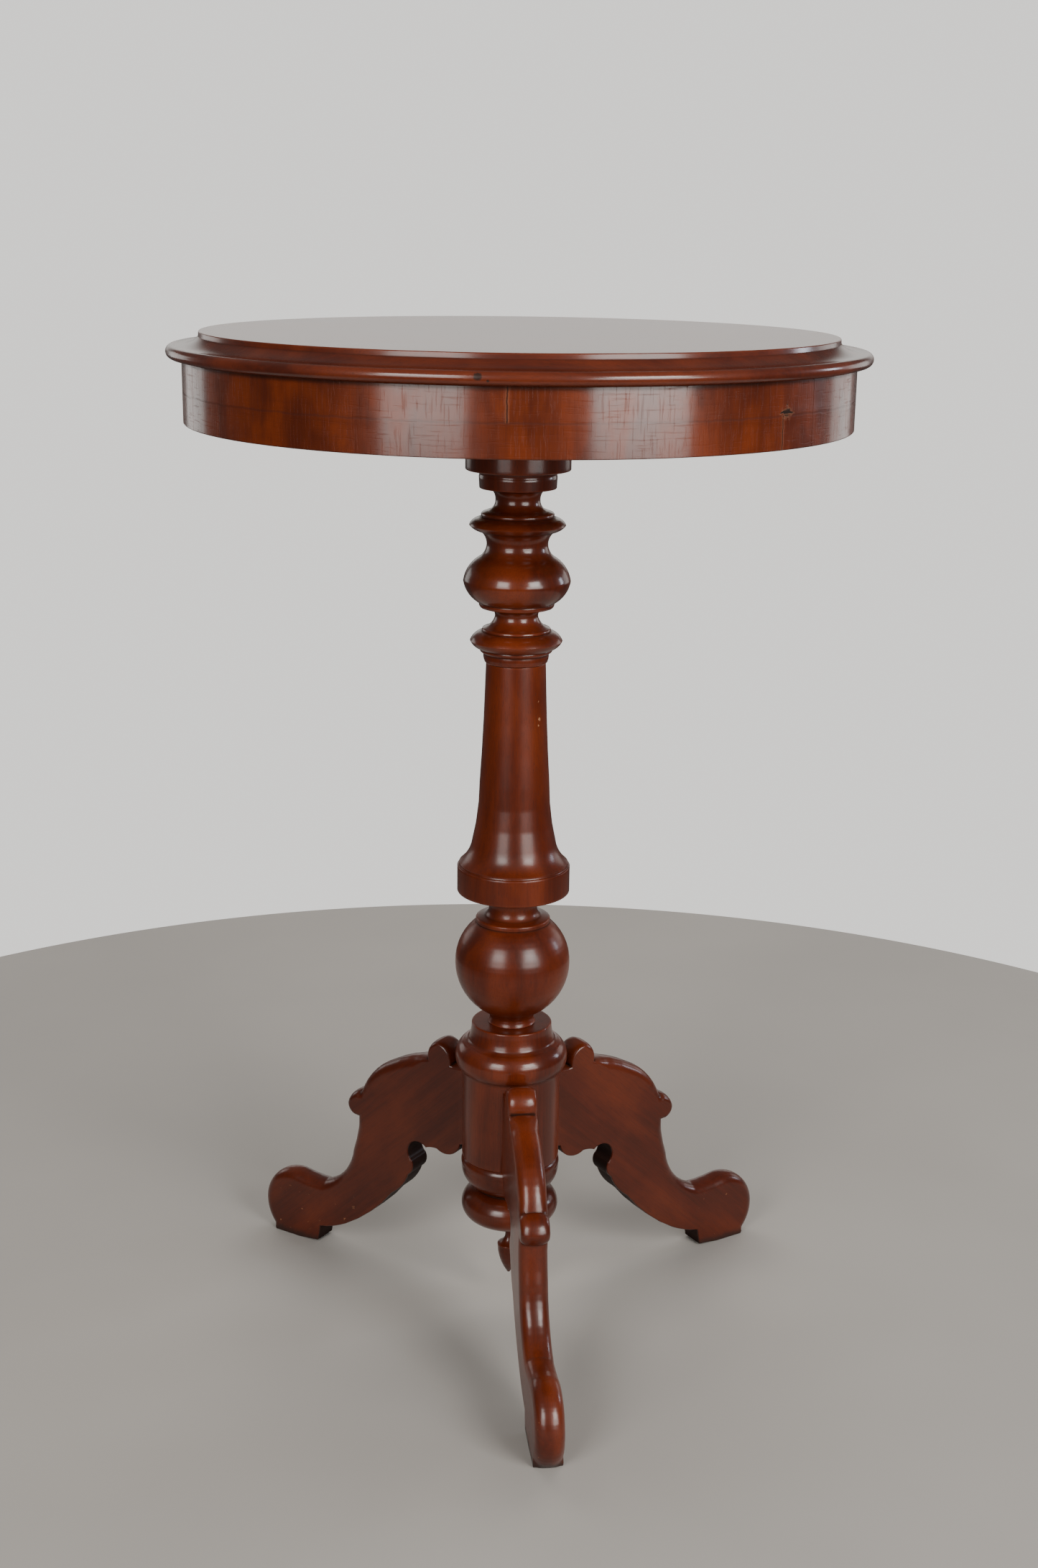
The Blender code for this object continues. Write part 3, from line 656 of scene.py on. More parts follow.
def frieze_veneer(name):
    """Cross-banded veneer: upright mottled grain, a fine crackle in the polish, a line at half height and two
    upright cracks where the bricks behind show through, and a dent."""
    tones = colours()
    wood = Finish(name)
    spot = wood.node("ShaderNodeUVMap", {"uv_map": "Sheet"}).outputs[0]
    along, up, _ = wood.parts(spot)
    mottle = wood.noise(spot, (34.0, 16.0, 1.0), 3.0, 0.55, 0.5)
    ribbon = wood.noise(spot, (190.0, 9.0, 1.0), 3.0, 0.55, 0.3)
    ripple = wood.noise(spot, (14.0, 260.0, 1.0), 2.0, 0.5, 0.6)
    fibre = wood.noise(spot, (1500.0, 70.0, 1.0), 2.0, 0.6)
    upright = wood.noise(spot, (760.0, 46.0, 1.0), 2.0, 0.55).step(0.56, 0.66)
    level = wood.noise(spot, (46.0, 760.0, 1.0), 2.0, 0.55).step(0.57, 0.67)
    wander = (wood.noise(spot, (60.0, 3.0, 1.0), 3.0, 0.6) - 0.5) * 0.0030
    from_joint = abs(up - COURSE_MIDDLE * MM + wander)
    joint = from_joint.step(0.0011, 0.0002)
    swell = from_joint.step(0.0070, 0.0005)
    body = wood.coats(
        tones.veneer_dark,
        ((mottle * 0.9 + ribbon * 0.25).step(0.38, 0.78), tones.veneer_light),
        (ripple.step(0.45, 0.75) * 0.22, tones.veneer_dark),
        (ribbon.step(0.50, 0.75) * 0.18, tones.veneer_dark),
        (fibre.step(0.45, 0.70) * 0.22, tones.heart),
        (joint * 0.30 + swell * 0.08, tones.heart))
    height = (ribbon * 0.14 - upright * 0.36 - level * 0.36 - joint * 0.20 + swell * 0.9
              + wood.noise(spot, (26.0, 40.0, 1.0), 2.0, 0.5) * 0.9)
    rough = 0.30 + mottle * 0.10 + upright * 0.08 + level * 0.08 + joint * 0.15
    gloss = 0.98 - (upright + level) * 0.30 - mottle.step(0.42, 0.70) * 0.18 - ribbon * 0.18
    for turn, above in ((CRACK_TURNS["upper"], True), (CRACK_TURNS["lower"], False)):
        place = radians(turn) * FRIEZE_RADIUS * MM
        stray = (wood.noise(spot, (3.0, 160.0, 1.0), 3.0, 0.6) - 0.5) * 0.0016
        side = abs(along - place + stray)
        course = up.step(COURSE_MIDDLE * MM - 0.0006, COURSE_MIDDLE * MM + 0.0010)
        course = course if above else 1.0 - course
        crack = side.step(0.0007, 0.0002) * course
        lip = side.step(0.0018, 0.0006) * course
        body = wood.coats(body, (crack * 0.75, tones.dirt), ((lip - crack) * 0.35, BARE_LIP))
        height = height - crack * 0.6 + lip * 0.5
        rough = rough + crack * 0.3 + lip * 0.06
    struck = radians(DENT_TURN) * FRIEZE_RADIUS * MM
    lost = abs(along - struck) * 0.6 + abs(up - (COURSE_MIDDLE + DENT_RISE) * MM)
    dent = (lost + (wood.noise(spot, (500.0, 500.0, 1.0)) - 0.5) * 0.010).step(0.0052, 0.0026)
    height = height - dent * 0.7
    # Painted shade: the top of the frieze, under the overhang of the nose, and its lowest edge are painted
    # darker and duller.
    rim_shade = (FRIEZE_TOP * MM - up).step(0.0030, 0.0004) + (up - FRIEZE_BOTTOM * MM).step(0.0012, 0.0003) * 0.6
    body = wood.coats(
        body,
        (dent * 0.40, BARE_DENT),
        ((dent * ripple * 1.8).step(0.55, 0.80), tones.dirt),
        (rim_shade * 0.6, tones.dirt))
    return wood.finish(
        Base_Color=body, Roughness=rough + dent * 0.3, Normal=wood.bump(height, 0.0005, 0.38),
        Specular_IOR_Level=0.12, Coat_Weight=gloss - rim_shade * 0.4 - dent * 0.5, Coat_Roughness=0.15)


class TABLE_OT_frieze(bpy.types.Operator):
    """Lay the veneer and the two courses of bricks behind it"""

    bl_idname = "table.frieze"
    bl_label = "Frieze"

    def execute(self, context):
        finish = frieze_veneer("Frieze veneer")
        inner, outer = FRIEZE_RADIUS - VENEER_THICKNESS, FRIEZE_RADIUS
        skin = [(inner, FRIEZE_BOTTOM), (outer - 0.3, FRIEZE_BOTTOM), (outer, FRIEZE_BOTTOM + 0.4),
                (outer, FRIEZE_TOP), (inner, FRIEZE_TOP)]
        step = 360 / VENEER_SHEETS
        for number in range(VENEER_SHEETS):
            first = VENEER_TURN + number * step
            ends = (first + VENEER_GAP, first + step - VENEER_GAP)
            sheet = ring_sector(skin, *ends, sizes().rim_sides // VENEER_SHEETS)
            name = f"frieze_veneer_{number + 1}"
            piece(name + "_polished", mesh_of(name, sheet), finish, "frieze_veneer", name, sharp=30.0)
        self.lay_bricks()
        return {"FINISHED"}

    def lay_bricks(self):
        step = 360 / BRICKS
        inner, outer, ease = BRICK_INNER, BRICK_OUTER, 0.8
        for course, turn in COURSE_TURNS.items():
            for number in range(BRICKS):
                node = f"frieze_brick_{course}_{number + 1}"
                low, high = foot_of(node), top_of(node)
                section = [(inner + ease, low), (outer - ease, low), (outer, low + ease), (outer, high),
                           (inner, high), (inner, low + ease)]
                first = turn + number * step
                ends = (first + BRICK_GAP, first + step - BRICK_GAP)
                brick = ring_sector(section, *ends, sizes().rim_sides // BRICKS)
                turns = (("Z", -(first + step / 2)),)
                finish = old_deal(f"Deal {course} {number + 1}", turns, (number * 0.37, 0.2, 0.1))
                piece(node + "_sawn", mesh_of(node, brick), finish, "deal", node)


# ---------------------------------------------------------------- the pillar


CHIPS = ((47.0, 481.0, 0.9), (49.0, 468.0, 1.3), (47.0, 463.5, 0.8))  # azimuth, height and size
CHIP_REACH = 22.7  # of the shaft's face from the axis


def chip_marks(wood, body, rough, height):
    """Small chips in the polish on the right of the shaft."""
    spot = wood.here()
    for turn, level, size in CHIPS:
        centre = around(CHIP_REACH, turn, level)
        mark = wood.mark(spot, centre, size * MM, size * MM * 0.6, (900.0, 900.0, 500.0), 0.0022)
        body = wood.mix(mark * 0.5, body, BARE_CHIP)
        rough = rough + mark * 0.35
        height = height - mark * 0.5
    return body, rough, height


SPIGOT = 22.0  # long
SPIGOT_RADIUS = 11.0
TENON_RADIUS = 15.0
TENON = 17.3  # long
BLOCK_RADIUS = 36.8
HEAD_TOP = foot_of("bearer") - GAP
SHAFT_TOP = top_of("pillar_shaft") - SPIGOT
BALL_TOP = top_of("pillar_ball") - SPIGOT
COLLAR_TOP = top_of("pillar_base") - SPIGOT
BASE_BOTTOM = foot_of("pillar_base")
CAP_BOTTOM = foot_of("base_cap")
DRUM_TOP = BALL_TOP + 20.0


def socket(bottom, top):
    """The end of an outline: a round hole going up into a piece from its lower face."""
    reach = SPIGOT_RADIUS + GAP
    return [(reach, bottom), (reach, top), (0.0, top)]


def spigot(top):
    """The start of an outline: a round pin standing on a piece's upper face."""
    end, reach = top + SPIGOT, SPIGOT_RADIUS
    return [(0.0, end), (reach - 1, end), (reach, end - 1), (reach, top)]


def head_profile():
    """Block under the bearer, step, neck, sharp ring, bulb, ring and the small steps over the shaft."""
    z, end, low = HEIGHT, HEAD_TOP + TENON, SHAFT_TOP + GAP
    start = [(0.0, end), (TENON_RADIUS, end), (TENON_RADIUS, HEAD_TOP), (BLOCK_RADIUS, HEAD_TOP)]
    return start + outline(
        (BLOCK_RADIUS, z - 92.0),
        [
            (35.8, z - 93.0, 0.4), (28.4, z - 93.0), (27.4, z - 97.5, -0.3), (27.0, z - 105.0),
            (26.4, z - 105.6, 0.4), (18.0, z - 107.2, -0.1), (15.8, z - 115.0, -0.22),
            (21.7, z - 121.2, -0.35), (24.8, z - 122.4), (25.4, z - 125.0, 0.4),
            (29.4, z - 126.8, -0.1), (33.9, z - 131.3, 0.22), (26.2, z - 135.6, 0.20),
            (21.6, z - 145.0, -0.25), (26.0, z - 153.4, -0.22), (37.9, z - 170.5, 0.24),
            (26.6, z - 186.0, 0.24), (25.6, z - 189.2, 0.3), (17.4, z - 190.6, -0.1),
            (15.3, z - 195.6, -0.22), (24.0, z - 204.2, -0.30), (24.3, z - 206.2, 0.3),
            (32.8, z - 213.0, 0.26), (25.6, z - 218.8, 0.26), (25.4, z - 220.8, 0.3), (23.2, z - 222.4),
            (22.6, z - 227.4, 0.15), (21.6, low, 0.3),
        ],
    ) + socket(low, SHAFT_TOP + SPIGOT + 0.9)


def shaft_profile():
    """A trumpet that flares down onto the drum."""
    rise, drum, low = SHAFT_TOP - DRUM_TOP, 41.1, BALL_TOP + GAP
    return spigot(SHAFT_TOP) + outline(
        (21.0, SHAFT_TOP),
        [
            (21.3, SHAFT_TOP - 0.3, 0.4), (21.9, SHAFT_TOP - rise * 0.12),
            (25.2, SHAFT_TOP - rise * 0.58, -0.01), (31.0, DRUM_TOP + 16.0, -0.06),
            (drum - 1.4, DRUM_TOP + 2.4, -0.16), (drum - 1.2, DRUM_TOP + 0.6, -0.2),
            (drum, DRUM_TOP, 0.3), (drum, low + 1.2), (drum - 1.2, low, 0.4),
        ],
    ) + socket(low, BALL_TOP + SPIGOT + 0.6)


def ball_profile():
    """Waist, small disc, ball and lower waist."""
    z, low = BALL_TOP, COLLAR_TOP + GAP
    return spigot(z) + outline(
        (26.0, z),
        [
            (17.7, z - 13.0, -0.40), (20.5, z - 18.6, -0.20), (26.4, z - 19.6), (27.2, z - 21.2, 0.4),
            (27.0, z - 23.2, 0.2), (42.3, z - 55.0, 0.24), (23.0, z - 91.0, 0.25),
            (18.6, COLLAR_TOP + 8.0, -0.2), (16.4, COLLAR_TOP + 5.0, -0.2), (17.6, low, -0.2),
        ],
    ) + socket(low, COLLAR_TOP + SPIGOT + 0.9)


def base_profile():
    """Collar, bulb and the plain drum that takes the legs."""
    return spigot(COLLAR_TOP) + outline(
        (28.8, COLLAR_TOP),
        [
            (29.8, COLLAR_TOP - 1.0, 0.4), (31.9, COLLAR_TOP - 13.2, -0.08),
            (36.0, COLLAR_TOP - 15.4, -0.2), (41.8, COLLAR_TOP - 27.8, 0.28),
            (BASE_RADIUS + 0.4, COLLAR_TOP - 37.4, 0.26), (BASE_RADIUS, COLLAR_TOP - 39.0),
            (BASE_RADIUS, BASE_BOTTOM + 1.2), (BASE_RADIUS - 1.2, BASE_BOTTOM, 0.4),
        ],
    ) + socket(BASE_BOTTOM, BASE_BOTTOM + SPIGOT + 0.6)


def cap_profile():
    """A thick ring and a bun in one piece, with the drop's hole below."""
    top = BASE_BOTTOM - GAP
    crown, thick, bun, hole = top - 27.5, 12.5, 36.7, 4.3
    return spigot(top) + outline(
        (BASE_RADIUS - 2.0, top),
        [
            (BASE_RADIUS + 0.2, top - 7.0, 0.34), (BASE_RADIUS + 0.2, top - 8.5),
            (24.6, top - 25.6, 0.32), (23.8, crown + 0.4), (bun - thick, crown),
            (bun, crown - thick, 0.414), (bun - thick, crown - 2 * thick, 0.414), (hole, CAP_BOTTOM),
            (hole, CAP_BOTTOM + 12.3), (0.0, CAP_BOTTOM + 12.3),
        ],
    )


def drop_profile():
    """A small turned drop: a thin neck, a hollow shoulder with a sharp edge and a long point."""
    top = CAP_BOTTOM - GAP
    return outline(
        (0.0, top + 12.0),
        [
            (4.0, top + 12.0), (4.0, top), (2.9, top - 5.0, -0.1), (2.9, top - 14.5),
            (8.6, top - 23.0, -0.34), (8.8, top - 23.4, 0.4), (8.8, top - 24.4, 0.2),
            (1.3, top - 47.4, 0.15), (0.0, top - 48.0, 0.4),
        ],
    )


def cut_by(mesh, cutters):
    """The mesh with the cutters taken out, its relief kept."""
    target = placed("cut_target", mesh)
    helpers = [placed(cutter.name, cutter) for cutter in cutters]
    for helper in helpers:
        modifier = target.modifiers.new("Cut", "BOOLEAN")
        modifier.operation, modifier.solver, modifier.object = "DIFFERENCE", "EXACT", helper
    made = evaluated_mesh(target)
    for obj in (target, *helpers):
        bpy.data.objects.remove(obj, do_unlink=True)
    return made


def prism_mesh(name, plan, low, high, turn=0.0):
    """A cutter: a plan of (x, y) drawn up from one height to another, and turned about the axis."""
    bm = bmesh.new()
    close_rows(bm, [[bm.verts.new((x, y, z)) for x, y in plan] for z in (low, high)])
    bmesh.ops.rotate(bm, matrix=Matrix.Rotation(radians(turn), 3, "Z"), verts=bm.verts)
    return mesh_of(name, bm)


def oblong(half, front, back):
    return [(-half, front), (half, front), (half, back), (-half, back)]


FLAT_TOP = 192.0
DOVETAIL_TOP = 176.3


def dovetail_plan(clearance, reach):
    """A dovetail seen from above: a trapezium that widens into the pillar, in the direction of -Y."""
    neck, root = LEG_THICKNESS * 0.36 + clearance, LEG_THICKNESS * 0.50 + clearance
    flat = LEG_ROOT - GAP
    waist, inner, outer = flat - 1.0, flat - 12.0 - clearance, LEG_ROOT + reach
    return [(-neck, -outer), (neck, -outer), (neck, -waist), (root, -inner), (-root, -inner), (-neck, -waist)]


def socketed_base(finish):
    """The base with a flat and a dovetail socket for each leg."""
    body = turned("pillar_base", base_profile(), sizes().turned_sides, finish)
    half = LEG_THICKNESS / 2 + 5.8
    cutters = []
    flat, dovetail = oblong(half, -BASE_RADIUS - 9.0, -(LEG_ROOT - GAP)), dovetail_plan(GAP, 9.0)
    for name, azimuth in LEG_AZIMUTHS.items():
        cutters.append(prism_mesh(f"flat_{name}", flat, BASE_BOTTOM - 5.0, FLAT_TOP, azimuth))
        cutters.append(prism_mesh(f"socket_{name}", dovetail, BASE_BOTTOM - 8.0, DOVETAIL_TOP, azimuth))
    return cut_by(body, cutters)


class TABLE_OT_pillar(bpy.types.Operator):
    """Turn the pillar, its base, cap and drop"""

    bl_idname = "table.pillar"
    bl_label = "Pillar"

    def execute(self, context):
        sides = sizes().turned_sides
        upright = (("Y", 90.0),)
        # Painted light and shade: each row's tone, like the base's below, lightens or darkens the piece's
        # whole colour for how the light falls on it, besides its wood.
        for node, profile, shift, marks, polish, tone, haze in (
            ("pillar_head", head_profile, (0.00, 0.05, 0.02), None, 1.0, 1.05, 0.17),
            ("pillar_shaft", shaft_profile, (0.40, 0.11, 0.07), chip_marks, 0.75, 1.0, 0.24),
            ("pillar_ball", ball_profile, (0.95, 0.02, 0.13), None, 0.65, 1.0, 0.24),
            ("base_cap", cap_profile, (1.70, 0.21, 0.03), None, 0.9, 0.92, 0.20),
            ("base_drop", drop_profile, (2.30, 0.15, 0.09), None, 0.8, 0.75, 0.20),
        ):
            finish = polished_mahogany(f"Mahogany {node}", upright, shift, marks, polish, tone, haze)
            mesh = turned(node, profile(), sides if node != "base_drop" else sides // 2, finish)
            if node == "pillar_head":
                plan = oblong(12.5, -2.1, 2.1)
                mesh = cut_by(mesh, [prism_mesh("wedge_slot", plan, FRIEZE_TOP - 15.0, FRIEZE_TOP + 5.0)])
            piece(node + "_polished", mesh, finish, "turned_mahogany", node)
        finish = polished_mahogany("Mahogany pillar_base", upright, (1.30, 0.07, 0.17), polish=0.9, tone=1.05)
        piece("pillar_base_polished", socketed_base(finish), finish, "turned_mahogany", "pillar_base")
        return {"FINISHED"}


# ---------------------------------------------------------------- the legs

KNEE_TOP = 189.0
KNUCKLE = (120.0, 145.0)  # the heights it stands between
DRAWN_ROOT = 35.2  # the reach of the leg's root in the outline below
LEG_SECTIONS = 25  # across the thickness
ROUND_POWER = 2.4  # 2 is a half circle, and more is squarer


def leg_outline():
    """(reach, height) round one leg, from the pillar out over the scroll, knee, knuckle bead and shin to the
    toe, then back along the sole and the fretted underside, and how many points each of the two ways has."""
    def x(reach):
        return LEG_ROOT + reach - DRAWN_ROOT

    outer = outline(
        (LEG_ROOT, KNEE_TOP),
        [
            (x(47.0), KNEE_TOP), (x(60.5), 204.8, 0.42), (x(71.2), 188.8, 0.42),
            (x(107.5), 175.6, 0.10), (x(135.6), 144.6, 0.20), (x(148.4), 133.0, 0.30),
            (x(138.2), 121.4, 0.42), (x(144.4), 92.5, -0.06), (x(174.0), 54.4, -0.27),
            (x(200.5), 56.4, -0.06), (x(233.6), 24.0, 0.45), (x(222.5), 0.0, 0.20),
        ],
    )
    under = outline(
        outer[-1],
        [
            (x(197.0), 0.0), (x(178.5), 2.0), (x(176.0), 15.6), (x(168.0), 17.4),
            (x(150.0), 25.0, 0.05), (x(104.0), 65.5, 0.10), (x(88.0), 86.0, 0.16),
            (x(84.8), 98.6, 0.40), (x(71.4), 113.4, -1.05), (x(61.0), 115.2, -0.12),
            (x(39.5), BASE_BOTTOM - 0.4, 0.55), (LEG_ROOT, BASE_BOTTOM + 0.8),
        ],
    )
    longest = sizes().facet / MM
    outer, under = fine(outer, longest), fine(under, longest)
    root = fine([under[-1], outer[0]], longest * 2)
    return outer + under[1:] + root[1:-1], len(outer), len(under) - 1


def inset(points, amounts):
    """The closed outline moved in towards its inside by an amount at each point."""
    moved = []
    for i, (x, y) in enumerate(points):
        before, after = points[i - 1], points[(i + 1) % len(points)]
        one = Vector((x - before[0], y - before[1])).normalized()
        two = Vector((after[0] - x, after[1] - y)).normalized()
        across = Vector((one.y + two.y, -one.x - two.x))
        across = across.normalized() / max(across.length / 2, 0.75)
        moved.append((x + across.x * amounts[i], y + across.y * amounts[i]))
    return moved


def leg_mesh(name, azimuth):
    """The outline lofted across the leg's thickness: half round on its outer edge, a small arris below."""
    points, outer_count, under_count = leg_outline()
    rounded, under = slice(outer_count), slice(outer_count, outer_count + under_count - 1)
    relief = np.array(relief_of(points, closed=True))
    half = LEG_THICKNESS / 2
    reach = np.concatenate([[0.0], np.cumsum(np.hypot(*np.diff(np.array(points[rounded]), axis=0).T))])
    height = np.array(points)[rounded, 1]
    share = np.where(height > KNEE_TOP - 2.0, SCROLL_SHARE, 1.0)
    share[(height > KNUCKLE[0]) & (height < KNUCKLE[1])] = KNUCKLE_SHARE
    share = np.convolve(np.pad(share, 3, "edge"), np.ones(7) / 7, "valid")
    share *= np.minimum(np.clip(reach / 5.0, 0, 1), np.clip((reach[-1] - reach) / 4.0, 0.2, 1)) ** 0.7
    full = np.zeros(len(points))
    full[rounded] = share * sizes().leg_rounding / MM
    softened = np.zeros(len(points))
    softened[under] = sizes().arris / MM
    # Painted shade and dirt: the fretted underside counts as a deep hollow, so it is painted dark.
    relief[under] = np.maximum(relief[under], 0.9)
    bm = bmesh.new()
    layer = bm.verts.layers.float.new("relief")
    rings = []
    for across in np.sin(np.linspace(-pi / 2, pi / 2, LEG_SECTIONS)):
        round_share = 1 - sqrt(max(0.0, 1 - abs(across) ** ROUND_POWER))
        arris_share = max(0.0, (abs(across) - 0.93) / 0.07) ** 2
        shown = 1 - max(0.0, (abs(across) - 0.80) / 0.20)
        ring = inset(points, full * round_share + softened * arris_share)
        row = []
        for (x, z), bend in zip(ring, relief):
            vert = bm.verts.new((across * half, -x, max(z, 0.0)))
            vert[layer] = bend * shown
            row.append(vert)
        rings.append(row)
    close_rows(bm, rings)
    bmesh.ops.rotate(bm, matrix=Matrix.Rotation(radians(azimuth), 3, "Z"), verts=bm.verts)
    return mesh_of(name, bm)


def worn_and_shaded_foot(wood, body, rough, height):
    """Painted shade on the lowest millimetres of a foot, where it meets the floor, and knocks in the polish
    above them.
    """
    spot = wood.here()
    _, _, up = wood.parts(spot)
    # Painted shade: the foot is painted dark and dull where it meets the floor.
    ragged = up + (wood.noise(spot, (160.0, 160.0, 160.0), 3.0, 0.6) - 0.5) * 0.006
    floor_shade = ragged.step(0.0085, 0.0010)
    knocks = wood.noise(spot, (210.0, 210.0, 260.0), 2.0, 0.5).step(0.70, 0.76) * up.step(0.060, 0.020)
    body = wood.coats(body, (knocks * 0.5, BARE_KNOCK), (floor_shade * 0.85, colours().dirt))
    return body, rough + floor_shade * 0.3 + knocks * 0.25, height - knocks * 0.3


class TABLE_OT_legs(bpy.types.Operator):
    """Saw and round the three legs"""

    bl_idname = "table.legs"
    bl_label = "Legs"

    def execute(self, context):
        for number, (name, azimuth) in enumerate(LEG_AZIMUTHS.items()):
            turns = (("Z", 90.0 - azimuth), ("Y", -43.0))
            shift = (number * 0.61, number * 0.23, 0.4)
            finish = polished_mahogany(f"Leg mahogany {name}", turns, shift, worn_and_shaded_foot, 0.85,
                                       tone=LEG_TONES_AND_LIGHT[number], haze=0.23)
            mesh = leg_mesh(f"leg_{name}", azimuth)
            leg = piece(f"leg_{name}_polished", mesh, finish, "leg_mahogany", f"leg_{name}", sharp=50.0)
            for face in leg.data.polygons:
                face.use_smooth = len(face.vertices) == 4
        return {"FINISHED"}


# ---------------------------------------------------------------- the fixings inside


def scattered(name, shape_mesh, places, finish):
    """One mesh that holds a copy of the shape at each (x, y, z, turn), in metres and radians."""
    shape = placed(name + "_shape", shape_mesh)
    points = bpy.data.meshes.new(name + "_points")
    points.from_pydata([place[:3] for place in places], [], [])
    points.attributes.new("turn", "FLOAT", "POINT").data.foreach_set("value", [place[3] for place in places])
    made = made_by(*scatter_tree(), name, points, Shape=shape, Finish=finish)
    bpy.data.objects.remove(shape, do_unlink=True)
    bpy.data.meshes.remove(shape_mesh)
    return made


def nodes_named(start):
    return sorted(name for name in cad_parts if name.startswith(start))


def screw_mesh(finish):
    """A slotted countersunk screw, its head at the origin and its point up."""
    head, body, tip = 4.2, 2.0, 29.3
    thread = []
    level, pitch = 8.0, 1.5
    while level < tip - 4.0:
        thread += [(body, level), (body - 0.45, level + pitch * 0.5)]
        level += pitch
    profile = [(0.0, tip), (0.7, tip - 1.4), (body - 0.3, tip - 3.4), *thread[::-1], (body, 3.4), (head, 0.9),
               (head, 0.2), (head - 0.3, 0.0), (0.0, 0.0)]
    made = spun("screw", profile, 24, finish)
    return cut_by(made, [prism_mesh("slot", oblong(5.0, -0.5, 0.5), -1.0, 1.1)])


def block_mesh(size):
    """A rubbed glue block with its lower inner corner planed off and its edges eased."""
    width, depth, height = size
    bm = bmesh.new()
    section = [(0.0, 0.0), (0.0, -height), (depth * 0.35, -height), (depth, -height * 0.35), (depth, 0.0)]
    close_rows(bm, [[bm.verts.new((x, y, z)) for y, z in section] for x in (-width / 2, width / 2)])
    bmesh.ops.recalc_face_normals(bm, faces=bm.faces)
    bmesh.ops.bevel(bm, geom=list(bm.edges), offset=0.7, segments=2, affect="EDGES", profile=0.5)
    return mesh_of("glue_block", bm)


def copied(node, ease):
    """A copy of a CAD node's mesh, merged, with its long square edges eased."""
    bm = bmesh.new()
    bm.from_mesh(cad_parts[node].data)
    bmesh.ops.remove_doubles(bm, verts=bm.verts, dist=0.000002)
    bmesh.ops.dissolve_limit(bm, angle_limit=radians(1.0), verts=bm.verts, edges=bm.edges)
    square, longest = radians(60), 0.03
    edges = [e for e in bm.edges if e.calc_face_angle(0) > square and e.calc_length() > longest]
    bmesh.ops.bevel(bm, geom=edges, offset=ease * MM, segments=3, affect="EDGES", profile=0.5)
    return plain_mesh(node, bm)


class TABLE_OT_inside(bpy.types.Operator):
    """Fit the bearer, its screws, the wedge and the glue blocks"""

    bl_idname = "table.inside"
    bl_label = "Inside"

    def execute(self, context):
        plank = old_deal("Deal bearer", (), (0.2, 0.3, 0.5), 0.25)
        piece("bearer_planed", copied("bearer", 1.5), plank, "deal", "bearer")
        wedge = old_deal("Deal wedge", (("Y", 90.0),), (0.9, 0.1, 0.0), 0.1)
        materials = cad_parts["tenon_wedge"].data.materials
        materials.clear()
        materials.append(wedge)
        screws = nodes_named("bearer_screw")
        places = []
        for number, node in enumerate(screws):
            low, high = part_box(node)
            places.append(((low.x + high.x) / 2, (low.y + high.y) / 2, low.z, 0.7 * number))
        steel = old_steel("Old steel")
        mesh = scattered("bearer_screws", screw_mesh(steel), places, steel)
        piece("bearer_screws_slotted", mesh, steel, "screw_steel", *screws, sharp=30.0)
        self.glue_blocks()
        return {"FINISHED"}

    def glue_blocks(self):
        """Each block's back stands on the frieze: its turn comes from its CAD box's middle."""
        blocks = nodes_named("glue_block")
        width, depth, height = 34.0, 16.0, 16.0
        back = (BRICK_INNER - GAP) * cos(width / 2 / BRICK_INNER)
        places = []
        for node in blocks:
            low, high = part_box(node)
            turn = atan2((low.x + high.x) / 2, -(low.y + high.y) / 2)
            x, y, _ = around(back, degrees(turn), 0.0)
            places.append((x, y, high.z, turn))
        finish = old_deal("Deal blocks", (("Z", 20.0),), (0.5, 0.5, 0.2), 0.4)
        mesh = scattered("glue_blocks", block_mesh((width, depth, height)), places, finish)
        piece("glue_blocks_planed", mesh, finish, "deal", *blocks)


# ---------------------------------------------------------------- stage, lights and camera


def floor_finish():
    ground = Finish("Plain floor")
    spot = ground.here()
    cloud = ground.noise(spot, (3.0, 3.0, 3.0), 3.0, 0.5)
    tone = colours().floor
    dull = tuple(channel * 0.94 for channel in tone)
    return ground.finish(Base_Color=ground.mix(cloud.step(0.3, 0.7), tone, dull), Roughness=0.85)


WARM, COOL = (1.0, 0.975, 0.94), (0.78, 0.87, 1.0)

# Azimuth, height, distance, size, power, tint, and whether the polish mirrors it
LAMPS = {
    "window_left": (-30.0, 1.54, 2.3, (1.00, 0.80), 34.0, WARM, True),
    "window_left_low": (-29.5, 0.78, 2.3, (1.12, 0.72), 18.0, WARM, True),
    "window_right": (40.0, 1.54, 2.3, (1.00, 0.80), 46.0, WARM, True),
    "window_right_low": (38.5, 0.78, 2.3, (1.35, 0.72), 29.0, WARM, True),
    "window_side": (112.0, 0.95, 2.6, (0.35, 0.6), 8.0, COOL, True),
    "window_far_left": (-136.0, 0.75, 2.4, (0.90, 0.8), 3.2, WARM, True),
    "window_far_right": (134.0, 0.75, 2.4, (0.90, 0.8), 3.2, WARM, True),
    "lamp_behind_left": (-155.0, 2.1, 2.5, (2.0, 1.4), 40.0, WARM, False),
    "lamp_behind_right": (152.0, 2.1, 2.5, (2.0, 1.4), 40.0, WARM, False),
}
LAMPS_FACE = (0.0, 0.0, 0.4)
FLOOR_RADIUS = 0.93


def lamp(name, azimuth, height, distance, size, power, tint, mirrored):
    """A soft window at an azimuth from the front, turned to face the table. One that isn't mirrored leaves no
    highlight."""
    light = bpy.data.lights.new(name, "AREA")
    light.shape = "RECTANGLE"
    light.size, light.size_y = size
    light.energy = power
    light.color = tint
    obj = placed(name, light)
    turn = radians(azimuth)
    place = Vector((distance * sin(turn), -distance * cos(turn), height))
    facing = (Vector(LAMPS_FACE) - place).to_track_quat("-Z", "Y")
    obj.matrix_world = Matrix.LocRotScale(place, facing, None)
    obj.visible_glossy = mirrored


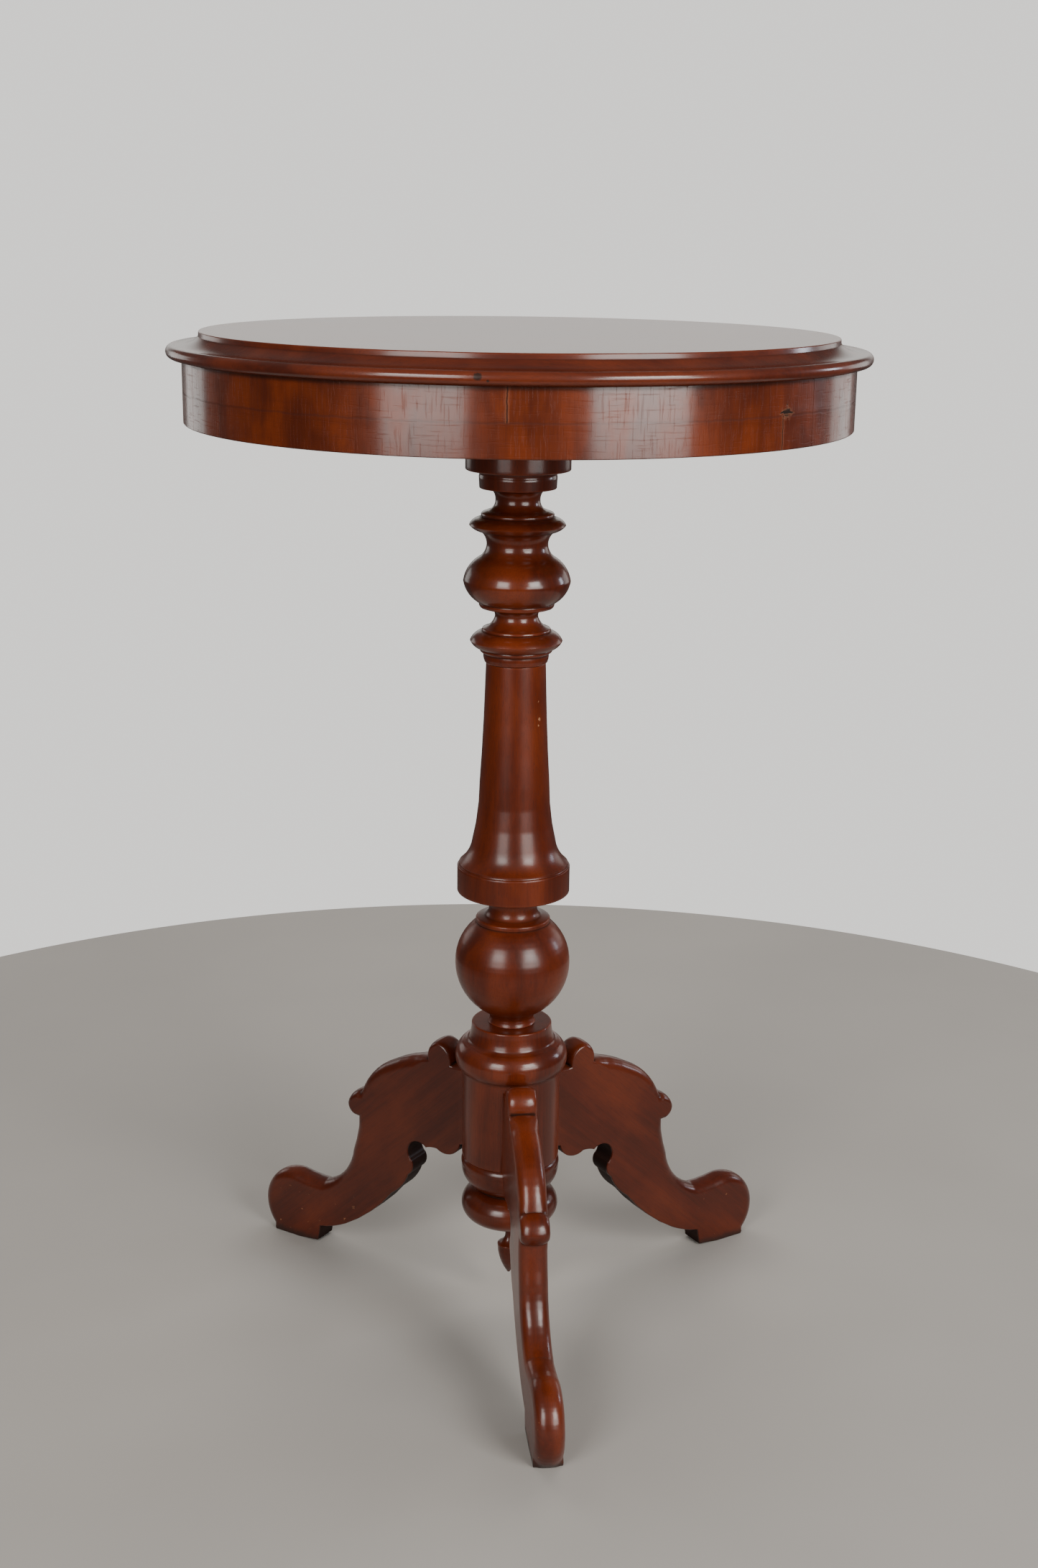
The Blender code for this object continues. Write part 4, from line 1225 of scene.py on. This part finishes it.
CAMERA_PLACE = (0.00326, -1.3997, 0.8122)
CAMERA_PITCH = 15.806  # degrees below the horizon
CAMERA_ROLL = 0.732  # degrees
CAMERA_LENS = 46.254  # millimetres on a 36 mm long side


def make_camera():
    data = bpy.data.cameras.new("Camera")
    data.lens = CAMERA_LENS
    data.sensor_width = 36.0
    data.clip_start, data.clip_end = 0.05, 50.0
    obj = placed("Camera", data)
    pitch, roll = radians(CAMERA_PITCH), radians(CAMERA_ROLL)
    across, upward = Vector((1, 0, 0)), Vector((0, sin(pitch), cos(pitch)))
    ahead = Vector((0, cos(pitch), -sin(pitch)))
    right = across * cos(roll) + upward * sin(roll)
    top = upward * cos(roll) - across * sin(roll)
    turn = Matrix((right, top, -ahead)).transposed()
    obj.matrix_world = Matrix.Translation(CAMERA_PLACE) @ turn.to_4x4()
    bpy.context.scene.camera = obj


def surround():
    """A plain pale backdrop, which lights the table as a pale wall on the far side of a dim room does."""
    world = bpy.data.worlds.new("Surround")
    world.use_nodes = True
    sky = Nodes(world.node_tree)
    toward = sky.node("ShaderNodeTexCoord").outputs["Generated"]
    _, back, up = sky.parts(toward)
    wall = back.step(0.88, 0.98) * up.step(-0.03, 0.05) * up.step(0.42, 0.16)
    room = sky.mix(up.step(0.2, 0.9), (0.070, 0.068, 0.066), (0.20, 0.20, 0.195))
    lit = sky.mix(wall, room, (1.12, 1.10, 1.05))
    seen = sky.node("ShaderNodeLightPath").outputs["Is Camera Ray"]
    backdrop = sky.mix(seen, lit, colours().wall)
    sky.feed(world.node_tree.nodes["Background"].inputs["Color"], backdrop)
    return world


class TABLE_OT_stage(bpy.types.Operator):
    """Lay a plain pale floor and set the soft lights and the camera"""

    bl_idname = "table.stage"
    bl_label = "Stage"

    def execute(self, context):
        make_camera()
        bm = bmesh.new()
        bmesh.ops.create_circle(bm, cap_ends=True, radius=FLOOR_RADIUS, segments=256)
        floor = placed("floor", plain_mesh("floor", bm))
        floor.data.materials.append(floor_finish())
        context.scene.world = surround()
        for name, settings in LAMPS.items():
            lamp(name, *settings)
        return {"FINISHED"}


# ---------------------------------------------------------------- panel and registration

BUILDERS = (TABLE_OT_stage, TABLE_OT_top, TABLE_OT_frieze, TABLE_OT_pillar, TABLE_OT_legs, TABLE_OT_inside)


class TABLE_PT_panel(bpy.types.Panel):
    bl_label = "Round pedestal table"
    bl_idname = "TABLE_PT_panel"
    bl_space_type = "VIEW_3D"
    bl_region_type = "UI"
    bl_category = "Table"

    def draw(self, context):
        for group in (context.scene.table_sizes, context.scene.table_colours):
            column = self.layout.column(align=True)
            for name in group.bl_rna.properties.keys():
                if name not in ("rna_type", "name"):
                    column.prop(group, name)
        for builder in BUILDERS:
            self.layout.operator(builder.bl_idname)


CLASSES = (TableSizes, TableColours, *BUILDERS, TABLE_PT_panel)


def register():
    for each in CLASSES:
        bpy.utils.register_class(each)
    bpy.types.Scene.table_sizes = PointerProperty(type=TableSizes)
    bpy.types.Scene.table_colours = PointerProperty(type=TableColours)


def unregister():
    del bpy.types.Scene.table_colours
    del bpy.types.Scene.table_sizes
    for each in reversed(CLASSES):
        bpy.utils.unregister_class(each)


def main():
    register()
    bpy.ops.table.stage()
    bpy.ops.table.top()
    bpy.ops.table.frieze()
    bpy.ops.table.pillar()
    bpy.ops.table.legs()
    bpy.ops.table.inside()


if __name__ == "__main__":
    main()
